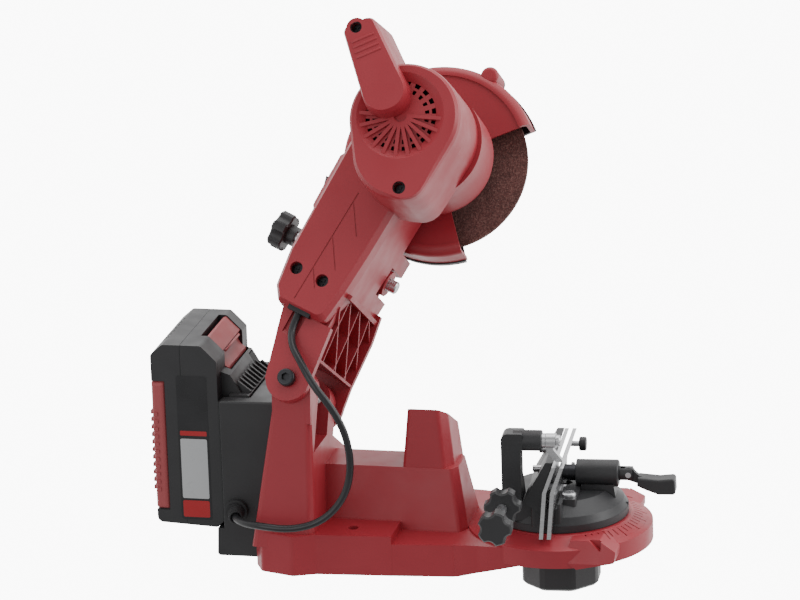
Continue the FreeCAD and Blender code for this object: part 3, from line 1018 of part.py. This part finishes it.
# indicator window and push button on the steep front face
win = prism([(-42.9, 111.9 + 1.2, 0), (-36.7, 101.6 + 1.6, 0), (-37.8, 100.9 + 1.6, 0), (-44.0, 111.3 + 1.2, 0)], -22, 16, "xz")
ib = prism([(-41.9, 112.9, 0), (-38.1, 106.7, 0), (-41.4, 104.8, 0), (-45.2, 111.0, 0)], 18.2, 24.8, "xz")
ibb = prism([(-40.0, 114.9, 0), (-35.6, 107.7, 0), (-44.0, 102.6, 0), (-48.4, 109.8, 0)], 17.9, 25.1, "xz")
front_sh = front_sh.cut(win).cut(ibb)
front_sh = one(front_sh)
save("battery_case_front", front_sh)
save("battery_grip", one(grip))
save("release_button", one(btn))
save("charge_window", win)
save("charge_button", ib)
cells = [cyl(V(-67.4, -32.5, 34.4 + 18.4 * i), YV, 9.1, 65) for i in range(5)]
save("battery_cells", group(cells))
contacts = [box(-42.6, -41.2, y - 3.6, y + 3.6, 60, 74).fuse(box(-39.0, -37.6, y - 3.6, y + 3.6, 60, 74)).fuse(
    box(-42.6, -37.6, y - 3.6, y + 3.6, 74, 75.4)) for y in (-10, 0, 10)]
save("battery_contacts", group(contacts))

print(len(NAMES), "nodes")
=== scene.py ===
import bpy, bmesh, math, json, random
from mathutils import Vector, Matrix


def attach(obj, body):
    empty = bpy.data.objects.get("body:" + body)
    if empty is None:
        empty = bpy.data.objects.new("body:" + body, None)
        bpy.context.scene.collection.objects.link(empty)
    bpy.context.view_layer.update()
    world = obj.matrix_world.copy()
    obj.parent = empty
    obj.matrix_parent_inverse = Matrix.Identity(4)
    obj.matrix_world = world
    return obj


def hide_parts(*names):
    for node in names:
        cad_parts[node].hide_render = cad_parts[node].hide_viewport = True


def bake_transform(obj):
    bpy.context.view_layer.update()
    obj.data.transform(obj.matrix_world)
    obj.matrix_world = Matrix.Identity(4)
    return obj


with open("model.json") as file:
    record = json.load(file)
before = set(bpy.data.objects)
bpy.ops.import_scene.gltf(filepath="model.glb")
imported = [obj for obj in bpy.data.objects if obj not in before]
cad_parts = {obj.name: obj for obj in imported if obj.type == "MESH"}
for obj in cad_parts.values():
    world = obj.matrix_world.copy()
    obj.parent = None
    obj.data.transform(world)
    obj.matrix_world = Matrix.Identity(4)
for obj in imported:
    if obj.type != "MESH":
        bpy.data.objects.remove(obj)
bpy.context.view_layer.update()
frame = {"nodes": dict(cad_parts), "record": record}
random.seed(7)

# ---- frames of the object, in metres, row frame -------------------------
BOLT_X = 34.0
TR, GR = math.radians(30.0), math.radians(24.5)
VV = Vector((0, math.sin(TR), math.cos(TR)))
NN = Vector((0, -math.cos(TR), math.sin(TR)))
XX = Vector((1, 0, 0))
AV = XX * math.cos(GR) - VV * math.sin(GR)
BV = XX * math.sin(GR) + VV * math.cos(GR)
P0 = Vector((0, -22, 104))
WC = (-3.4, 166.7)                      # wheel axis in (a, b)
SW = math.radians(4.5)
XT = Vector((math.cos(SW), math.sin(SW), 0))
YT = Vector((-math.sin(SW), math.cos(SW), 0))
ZT = Vector((0, 0, 1))


def R(p):
    """Working millimetres to row metres."""
    return Vector(((p[0] - BOLT_X) / 1000.0, p[1] / 1000.0, p[2] / 1000.0))


def hp(a, b, n):
    return R(P0 + AV * a + BV * b + NN * n)


def tp(x, y, z):
    return R(Vector((153, 0, 0)) + XT * x + YT * y + ZT * z)


M_HEAD = Matrix((
    (AV.x / 1000, BV.x / 1000, NN.x / 1000, (P0.x - BOLT_X) / 1000),
    (AV.y / 1000, BV.y / 1000, NN.y / 1000, P0.y / 1000),
    (AV.z / 1000, BV.z / 1000, NN.z / 1000, P0.z / 1000),
    (0, 0, 0, 1)))
M_TABLE = Matrix((
    (XT.x / 1000, YT.x / 1000, 0, (153 - BOLT_X) / 1000),
    (XT.y / 1000, YT.y / 1000, 0, 0),
    (0, 0, 0.001, 0),
    (0, 0, 0, 1)))
M_WORK = Matrix((
    (0.001, 0, 0, -BOLT_X / 1000), (0, 0.001, 0, 0), (0, 0, 0.001, 0), (0, 0, 0, 1)))

# ---- camera -------------------------------------------------------------
AZ, EL, ROLL = math.radians(13.2), math.radians(17.1), math.radians(1.93)
back = Vector((math.sin(AZ) * math.cos(EL), -math.cos(AZ) * math.cos(EL), math.sin(EL)))
r0 = Vector((math.cos(AZ), math.sin(AZ), 0))
u0 = Vector((-math.sin(AZ) * math.sin(EL), math.cos(AZ) * math.sin(EL), math.cos(EL)))
rr = r0 * math.cos(ROLL) - u0 * math.sin(ROLL)
uu = r0 * math.sin(ROLL) + u0 * math.cos(ROLL)
cpos = P0 + back * 3012.0 + rr * 59.64 + uu * 54.82
cam_data = bpy.data.cameras.new("camera")
cam_data.sensor_fit = "HORIZONTAL"
cam_data.sensor_width = 36.0
cam_data.lens = 225.0
cam_data.clip_start = 0.1
cam_data.clip_end = 50.0
cam = bpy.data.objects.new("camera", cam_data)
bpy.context.scene.collection.objects.link(cam)
cam.matrix_world = Matrix((
    (rr.x, uu.x, back.x, (cpos.x - BOLT_X) / 1000),
    (rr.y, uu.y, back.y, cpos.y / 1000),
    (rr.z, uu.z, back.z, cpos.z / 1000),
    (0, 0, 0, 1)))
bpy.context.scene.camera = cam

# ---- node helpers -------------------------------------------------------


def new_mat(name):
    m = bpy.data.materials.new(name)
    m.use_nodes = True
    nt = m.node_tree
    nt.nodes.clear()
    out = nt.nodes.new("ShaderNodeOutputMaterial")
    bs = nt.nodes.new("ShaderNodeBsdfPrincipled")
    nt.links.new(bs.outputs["BSDF"], out.inputs["Surface"])
    return m, nt, bs


def N(nt, kind, **kw):
    n = nt.nodes.new(kind)
    for k, v in kw.items():
        if k.startswith("i_"):
            n.inputs[k[2:].replace("_", " ")].default_value = v
        else:
            setattr(n, k, v)
    return n


def ramp(nt, src, stops):
    r = nt.nodes.new("ShaderNodeValToRGB")
    r.color_ramp.elements[0].position = stops[0][0]
    r.color_ramp.elements[0].color = stops[0][1]
    r.color_ramp.elements[1].position = stops[-1][0]
    r.color_ramp.elements[1].color = stops[-1][1]
    for p, c in stops[1:-1]:
        e = r.color_ramp.elements.new(p)
        e.color = c
    nt.links.new(src, r.inputs["Fac"])
    return r.outputs["Color"]


def mul(c, k, a=1.0):
    return (c[0] * k, c[1] * k, c[2] * k, a)


def plastic(name, col, rough=0.42, grain=900.0, bump=0.06, spec=0.5, vary=0.10, coat=0.0, mottle=14.0, rough_vary=0.08):
    """Moulded plastic: fine spark-eroded grain, slight cloudiness and rubbed patches."""
    m, nt, bs = new_mat(name)
    tc = N(nt, "ShaderNodeTexCoord")
    n1 = N(nt, "ShaderNodeTexNoise")
    n1.inputs["Scale"].default_value = mottle
    n1.inputs["Detail"].default_value = 4.0
    n1.inputs["Roughness"].default_value = 0.6
    nt.links.new(tc.outputs["Object"], n1.inputs["Vector"])
    c = ramp(nt, n1.outputs["Fac"], [(0.25, mul(col, 1 - vary)), (0.55, mul(col, 1.0)), (0.8, mul(col, 1 + vary))])
    nt.links.new(c, bs.inputs["Base Color"])
    n2 = N(nt, "ShaderNodeTexNoise")
    n2.inputs["Scale"].default_value = grain
    n2.inputs["Detail"].default_value = 2.0
    nt.links.new(tc.outputs["Object"], n2.inputs["Vector"])
    bp = N(nt, "ShaderNodeBump")
    bp.inputs["Strength"].default_value = bump
    bp.inputs["Distance"].default_value = 0.0004
    nt.links.new(n2.outputs["Fac"], bp.inputs["Height"])
    nt.links.new(bp.outputs["Normal"], bs.inputs["Normal"])
    n3 = N(nt, "ShaderNodeTexNoise")
    n3.inputs["Scale"].default_value = 55.0
    n3.inputs["Detail"].default_value = 5.0
    nt.links.new(tc.outputs["Object"], n3.inputs["Vector"])
    rr_ = ramp(nt, n3.outputs["Fac"], [(0.3, (rough - rough_vary,) * 3 + (1,)), (0.7, (rough + rough_vary,) * 3 + (1,))])
    nt.links.new(rr_, bs.inputs["Roughness"])
    bs.inputs["Specular IOR Level"].default_value = spec
    if coat:
        bs.inputs["Coat Weight"].default_value = coat
        bs.inputs["Coat Roughness"].default_value = 0.25
    return m


def metal(name, col, rough=0.28, scale=(40.0, 40.0, 900.0), bump=0.04, vary=0.08, metallic=1.0):
    """Plated or ground steel with faint directional marks."""
    m, nt, bs = new_mat(name)
    tc = N(nt, "ShaderNodeTexCoord")
    mp = N(nt, "ShaderNodeMapping")
    mp.inputs["Scale"].default_value = scale
    nt.links.new(tc.outputs["Object"], mp.inputs["Vector"])
    n1 = N(nt, "ShaderNodeTexNoise")
    n1.inputs["Scale"].default_value = 1.0
    n1.inputs["Detail"].default_value = 6.0
    nt.links.new(mp.outputs["Vector"], n1.inputs["Vector"])
    c = ramp(nt, n1.outputs["Fac"], [(0.3, mul(col, 1 - vary)), (0.7, mul(col, 1 + vary))])
    nt.links.new(c, bs.inputs["Base Color"])
    bs.inputs["Metallic"].default_value = metallic
    rr_ = ramp(nt, n1.outputs["Fac"], [(0.3, (rough * 0.8,) * 3 + (1,)), (0.7, (rough * 1.25,) * 3 + (1,))])
    nt.links.new(rr_, bs.inputs["Roughness"])
    bp = N(nt, "ShaderNodeBump")
    bp.inputs["Strength"].default_value = bump
    bp.inputs["Distance"].default_value = 0.0003
    nt.links.new(n1.outputs["Fac"], bp.inputs["Height"])
    nt.links.new(bp.outputs["Normal"], bs.inputs["Normal"])
    return m


RED = (0.375, 0.029, 0.041)
WORLD_FRONT, WORLD_BACK, WORLD_SEEN = 0.45, 1.55, 10.0
MAT = {}
MAT["red"] = plastic("red_plastic", RED, rough=0.40, vary=0.06, bump=0.05)
MAT["red_grip"] = plastic("grip_red", (0.40, 0.075, 0.08), rough=0.5, vary=0.08)
MAT["black"] = plastic("black_plastic", (0.030, 0.030, 0.032), rough=0.42, vary=0.15, bump=0.08)
MAT["black_soft"] = plastic("black_soft", (0.024, 0.024, 0.026), rough=0.6, vary=0.15, bump=0.12)
MAT["rubber"] = plastic("rubber", (0.022, 0.022, 0.024), rough=0.62, vary=0.12, bump=0.08)
MAT["steel"] = metal("plated_steel", (0.62, 0.62, 0.63))
MAT["dark_steel"] = metal("black_steel", (0.06, 0.06, 0.065), rough=0.4)
MAT["alu"] = metal("cast_aluminium", (0.70, 0.70, 0.71), rough=0.4)
MAT["brass"] = metal("brass", (0.62, 0.42, 0.16), rough=0.3)
MAT["magnet"] = metal("sintered", (0.10, 0.10, 0.11), rough=0.6)
MAT["board"] = plastic("circuit_board", (0.02, 0.13, 0.05), rough=0.35)
MAT["window"] = plastic("smoked_window", (0.02, 0.02, 0.022), rough=0.16, bump=0.0, coat=0.5)
MAT["cells"] = plastic("cell_sleeve", (0.08, 0.22, 0.36), rough=0.3)
MAT["cable"] = plastic("cable_sheath", (0.016, 0.016, 0.018), rough=0.34, bump=0.05, vary=0.1)
MAT["label_dark"] = plastic("label_dark", (0.020, 0.020, 0.022), rough=0.3, bump=0.02)
MAT["label_silver"] = plastic("label_silver", (0.50, 0.51, 0.52), rough=0.32, bump=0.02, vary=0.05)
MAT["label_red"] = plastic("label_red", (0.45, 0.02, 0.025), rough=0.3, bump=0.02)
MAT["led"] = plastic("indicator", (0.55, 0.56, 0.57), rough=0.25, bump=0.02)


def abrasive():
    m, nt, bs = new_mat("bonded_abrasive")
    tc = N(nt, "ShaderNodeTexCoord")
    v = N(nt, "ShaderNodeTexVoronoi")
    v.inputs["Scale"].default_value = 1400.0
    nt.links.new(tc.outputs["Object"], v.inputs["Vector"])
    n = N(nt, "ShaderNodeTexNoise")
    n.inputs["Scale"].default_value = 60.0
    n.inputs["Detail"].default_value = 8.0
    nt.links.new(tc.outputs["Object"], n.inputs["Vector"])
    a = ramp(nt, v.outputs["Color"], [(0.1, (0.085, 0.036, 0.032, 1)), (0.5, (0.135, 0.052, 0.046, 1)), (0.92, (0.24, 0.12, 0.105, 1))])
    b = ramp(nt, n.outputs["Fac"], [(0.3, (0.75, 0.75, 0.75, 1)), (0.75, (1.15, 1.12, 1.1, 1))])
    mx = N(nt, "ShaderNodeMix", data_type="RGBA", blend_type="MULTIPLY")
    mx.inputs["Factor"].default_value = 1.0
    nt.links.new(a, mx.inputs[6])
    nt.links.new(b, mx.inputs[7])
    nt.links.new(mx.outputs[2], bs.inputs["Base Color"])
    bs.inputs["Roughness"].default_value = 0.88
    bp = N(nt, "ShaderNodeBump")
    bp.inputs["Strength"].default_value = 0.5
    bp.inputs["Distance"].default_value = 0.0003
    nt.links.new(v.outputs["Distance"], bp.inputs["Height"])
    nt.links.new(bp.outputs["Normal"], bs.inputs["Normal"])
    return m


MAT["abrasive"] = abrasive()

SLOT = {"red_plastic": "red", "black_plastic": "black", "grip_plastic": "red_grip", "rubber": "rubber", "steel": "steel",
        "dark_steel": "dark_steel", "aluminium": "alu", "copper_brass": "brass", "magnet": "magnet", "abrasive": "abrasive",
        "board": "board", "window": "window", "cell_wrap": "cells"}
slots = {s["node"]: s["material_slot"] for s in frame["record"]["subparts"]}


def give(o, m):
    if len(o.material_slots) == 0:
        o.data.materials.append(m)
    else:
        for s in o.material_slots:
            s.material = m


for name, o in frame["nodes"].items():
    give(o, MAT[SLOT[slots[name]]])

# ---- soften the edges of the moulded nodes ------------------------------
BEV = {"base_housing": 0.0010, "head_housing": 0.0007, "head_cover": 0.0008, "handle_back": 0.0010, "guard_housing": 0.0006,
       "guard_cover": 0.0005, "battery_holder": 0.0008, "swivel_plate": 0.0007, "stop_bracket": 0.0006, "clamp_housing": 0.0005,
       "cam_lever": 0.0006, "battery_case_front": 0.0008, "battery_case_rear": 0.0008, "release_button": 0.0008,
       "swivel_lock_knob": 0.0008, "fixed_rail": 0.0003, "moving_rail": 0.0003, "stop_adjust_knob": 0.0008, "stop_lock_knob": 0.0008,
       "depth_knob": 0.0008, "battery_grip": 0.0004, "cable_grommet": 0.0004}
for name, w in BEV.items():
    o = frame["nodes"].get(name)
    if not o:
        continue
    b = o.modifiers.new("bevel", "BEVEL")
    b.width = w
    b.segments = 2
    b.limit_method = "ANGLE"
    b.angle_limit = math.radians(32)
    b.use_clamp_overlap = True
    b.harden_normals = False

# ---- cable --------------------------------------------------------------
CABLE = [(5.8, -30.9, 161.7), (0.0, -37.3, 150.7), (1.6, -47.6, 141.6), (9.6, -57.2, 133.6), (18.4, -64.5, 122.0),
         (30.2, -65.5, 107.8), (38.2, -65.5, 91.0), (40.2, -65.5, 69.8), (34.9, -66.5, 51.6), (21.5, -68.0, 37.6),
         (3.4, -70.0, 32.4), (-15.8, -69.5, 33.5), (-31.2, -61.0, 32.3), (-38.3, -49.0, 32.6), (-38.3, -34.5, 32.6)]



def mesh_object(name, bm, mat, body, smooth=True, M=None):
    if M is not None:
        bm.transform(M)
    bmesh.ops.recalc_face_normals(bm, faces=bm.faces[:])
    me = bpy.data.meshes.new(name)
    bm.to_mesh(me)
    bm.free()
    if smooth:
        for q in me.polygons:
            q.use_smooth = True
    o = bpy.data.objects.new(name, me)
    bpy.context.scene.collection.objects.link(o)
    o.data.materials.append(MAT[mat])
    if body:
        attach(o, body)
    return o


def soften(o, w, seg=2):
    b = o.modifiers.new("bevel", "BEVEL")
    b.width = w
    b.segments = seg
    b.limit_method = "ANGLE"
    b.angle_limit = math.radians(32)
    return o


def bm_prism(bm, outline, frame_, h0, h1):
    """Closed prism: outline of (u, v) in the frame (origin, e_u, e_v, e_n), from h0 to h1 along e_n."""
    o, eu, ev, en = frame_
    a = [bm.verts.new(o + eu * u + ev * v + en * h0) for u, v in outline]
    b = [bm.verts.new(o + eu * u + ev * v + en * h1) for u, v in outline]
    bm.faces.new(a)
    bm.faces.new(list(reversed(b)))
    n = len(a)
    for i in range(n):
        bm.faces.new([a[i], a[(i + 1) % n], b[(i + 1) % n], b[i]])


def rounded(u0, u1, v0, v1, r, seg=4):
    pts = []
    for cx, cy, a0 in ((u1 - r, v1 - r, 0), (u0 + r, v1 - r, 90), (u0 + r, v0 + r, 180), (u1 - r, v0 + r, 270)):
        for k in range(seg + 1):
            a = math.radians(a0 + 90.0 * k / seg)
            pts.append((cx + r * math.cos(a), cy + r * math.sin(a)))
    return pts


def bm_tube(bm, pts, rad, seg=18, closed=False):
    """Tube along points; rad is a number or one per point."""
    n = len(pts)
    rads = rad if isinstance(rad, (list, tuple)) else [rad] * n
    up = None
    rings = []
    for i in range(n):
        a = pts[(i - 1) % n] if (closed or i > 0) else pts[i]
        b = pts[(i + 1) % n] if (closed or i < n - 1) else pts[i]
        t = (b - a).normalized()
        if up is None:
            up = t.orthogonal().normalized()
        up = (up - t * up.dot(t)).normalized()
        side = t.cross(up)
        rings.append([bm.verts.new(pts[i] + (up * math.cos(2 * math.pi * k / seg) + side * math.sin(2 * math.pi * k / seg)) * rads[i])
                      for k in range(seg)])
    m = n if closed else n - 1
    for i in range(m):
        A, B = rings[i], rings[(i + 1) % n]
        for k in range(seg):
            bm.faces.new([A[k], A[(k + 1) % seg], B[(k + 1) % seg], B[k]])
    if not closed:
        bm.faces.new(list(reversed(rings[0])))
        bm.faces.new(rings[-1])


def circle_pts(c, axis, r, n=32):
    axis = axis.normalized()
    u = axis.orthogonal().normalized()
    w = axis.cross(u)
    return [c + (u * math.cos(2 * math.pi * k / n) + w * math.sin(2 * math.pi * k / n)) * r for k in range(n)]


# centreline read back from a NURBS curve through the same control points
cd = bpy.data.curves.new("cable_line", "CURVE")
cd.dimensions = "3D"
sp = cd.splines.new("NURBS")
sp.points.add(len(CABLE) - 1)
for q, c_ in zip(sp.points, CABLE):
    v = R(c_)
    q.co = (v.x, v.y, v.z, 1.0)
sp.order_u = 3
sp.use_endpoint_u = True
sp.resolution_u = 8
co = bpy.data.objects.new("cable_line", cd)
bpy.context.scene.collection.objects.link(co)
bpy.context.view_layer.update()
lm = bpy.data.meshes.new_from_object(co)
LINE = [Vector(v.co) for v in lm.vertices]
bpy.data.meshes.remove(lm)
bpy.data.objects.remove(co)
bm = bmesh.new()
bm_tube(bm, LINE, 0.00225, seg=20)
cable = mesh_object("power_cable_tube", bm, "cable", None)
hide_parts("power_cable")
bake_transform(cable)

# ribs of the strain relief where the cable enters the base
bm = bmesh.new()
k0 = min(range(len(LINE)), key=lambda i: (LINE[i] - R((-37.7, -46.6, 32.6))).length)
acc = 0.0
want = [0.0, 1.6, 3.2, 4.8]
i = k0
while want and i > 0:
    if acc >= want[0] / 1000:
        t = (LINE[i - 1] - LINE[i]).normalized()
        bm_tube(bm, circle_pts(LINE[i], t, 0.0041 - 0.00018 * (4 - len(want)), 28), 0.00062, seg=10, closed=True)
        want.pop(0)
    acc += (LINE[i] - LINE[i - 1]).length
    i -= 1
mesh_object("strain_relief_ribs", bm, "rubber", "base")

# ---- battery: plain rating field, indicator bars, moulded ribs -------------
YN = Vector((0, -1, 0))


def work_frame(o, eu, ev, en):
    return (R(o), Vector(eu) / 1000, Vector(ev) / 1000, Vector(en) / 1000)


side = work_frame((0, -37.48, 0), (1, 0, 0), (0, 0, 1), (0, -1, 0))
bm = bmesh.new()
bm_prism(bm, rounded(-73.6, -54.6, 24.5, 116.0, 1.6), side, 0.0, 0.16)
mesh_object("battery_label_back", bm, "label_dark", "battery", smooth=False)
bm = bmesh.new()
bm_prism(bm, rounded(-72.4, -55.8, 38.0, 76.0, 1.0), side, 0.0, 0.26)
mesh_object("battery_label_field", bm, "label_silver", "battery", smooth=False)
bm = bmesh.new()
bm_prism(bm, rounded(-72.4, -55.8, 26.0, 36.6, 1.0), side, 0.0, 0.26)
bm_prism(bm, rounded(-72.4, -55.8, 78.0, 81.0, 0.6), side, 0.0, 0.26)
mesh_object("battery_label_bands", bm, "label_red", "battery", smooth=False)
steep = work_frame((-39.8, 0, 108.15), (0, 1, 0), (-0.5314, 0, 0.8471), (0.8471, 0, 0.5314))
bm = bmesh.new()
bm_prism(bm, rounded(-20.0, 14.6, -3.5, 3.5, 1.0), steep, -0.1, 0.09)
mesh_object("charge_window", bm, "label_silver", "battery", smooth=False)
bm = bmesh.new()
for y in (-17.0, -8.6, -0.2, 8.2):
    bm_prism(bm, rounded(y - 1.0, y + 4.6, -2.4, 2.4, 0.8), steep, -0.1, 0.18)
mesh_object("charge_bars", bm, "led", "battery", smooth=False)
# grip treads on the release button
bm = bmesh.new()
slope = work_frame((-54.9, 0, 131.6), (0.7071, 0, -0.7071), (0, 1, 0), (0.7071, 0, 0.7071))
for k in range(4):
    u = -1.5 + 3.4 * k
    bm_prism(bm, rounded(u, u + 1.3, -12.0, 21.0, 0.6), slope, -1.2, -0.15)
mesh_object("button_treads", bm, "red_grip", "latch_button")

# ---- handle: treads across the grip -----------------------------------------
HTb, HBb = Vector((-51.3, 202.6)), Vector((-17.0, 173.4))
hd = (HTb - HBb).normalized()
hs = Vector((-hd.y, hd.x))
bm = bmesh.new()
hf = (hp(HTb.x, HTb.y, 94.5), (AV * hd.x + BV * hd.y) / 1000, (AV * hs.x + BV * hs.y) / 1000, NN / 1000)
for k in range(4):
    u = -11.5 - 3.4 * k
    w_ = 7.4 + 0.2 * k
    bm_prism(bm, rounded(u - 0.7, u + 0.7, -w_, w_, 0.65), hf, -0.4, 0.42)
soften(mesh_object("handle_treads", bm, "red", "head"), 0.0002)
# dark rings in the screw wells: painted shade darkening the recesses
bm = bmesh.new()
for (a, b, n, r_) in ((-26.7, 60.9, 38.6, 0.00372), (-8.8, 61.0, 38.6, 0.00372), (17.7, 126.6, 82.0, 0.00372),
                      (-49.6, 199.0, 94.5, 0.00335)):
    f = hp(a, b, n)
    bm_tube(bm, circle_pts(f - NN * 0.0012, NN, r_, 32), 0.00022, seg=6, closed=True)
    bm_tube(bm, circle_pts(f - NN * 0.0036, NN, r_, 32), 0.00022, seg=6, closed=True)
# painted shade: black rubber rings inside the wells stand for the shade in the holes
mesh_object("screw_well_shade_rings", bm, "rubber", "head")

# ---- stage --------------------------------------------------------------
world = bpy.data.worlds.new("studio")
bpy.context.scene.world = world
world.use_nodes = True
wt = world.node_tree
wn = wt.nodes["Background"]
wc = wt.nodes.new("ShaderNodeTexCoord")
wx = wt.nodes.new("ShaderNodeSeparateXYZ")
wt.links.new(wc.outputs["Generated"], wx.inputs["Vector"])
wm = wt.nodes.new("ShaderNodeMapRange")
wm.inputs["From Min"].default_value = -0.55
wm.inputs["From Max"].default_value = 0.45
wm.inputs["To Min"].default_value = WORLD_FRONT
wm.inputs["To Max"].default_value = WORLD_BACK
wt.links.new(wx.outputs["Y"], wm.inputs["Value"])
wn.inputs["Color"].default_value = (1, 1, 1, 1)
wl = wt.nodes.new("ShaderNodeLightPath")
wk = wt.nodes.new("ShaderNodeMath")
wk.operation = "MULTIPLY"
wk.inputs[1].default_value = WORLD_SEEN
wt.links.new(wl.outputs["Is Camera Ray"], wk.inputs[0])
wj = wt.nodes.new("ShaderNodeMath")
wj.operation = "MAXIMUM"
wt.links.new(wm.outputs["Result"], wj.inputs[0])
wt.links.new(wk.outputs["Value"], wj.inputs[1])
wt.links.new(wj.outputs["Value"], wn.inputs["Strength"])


def area(name, loc, target, size, power, size_y=None):
    d = bpy.data.lights.new(name, "AREA")
    d.energy = power
    d.shape = "RECTANGLE"
    d.size = size
    d.size_y = size_y or size
    o = bpy.data.objects.new(name, d)
    bpy.context.scene.collection.objects.link(o)
    o.location = loc
    v = Vector(target) - Vector(loc)
    o.rotation_euler = v.to_track_quat("-Z", "Y").to_euler()
    return o


area("key", (1.8, 0.1, 1.0), (0.05, 0, 0.14), 1.2, 14.0)
area("top", (0.2, 0.3, 1.9), (0.05, 0, 0.12), 1.6, 12.0)
area("fill", (-0.9, -1.9, 0.7), (0.05, 0, 0.14), 1.6, 12.0)
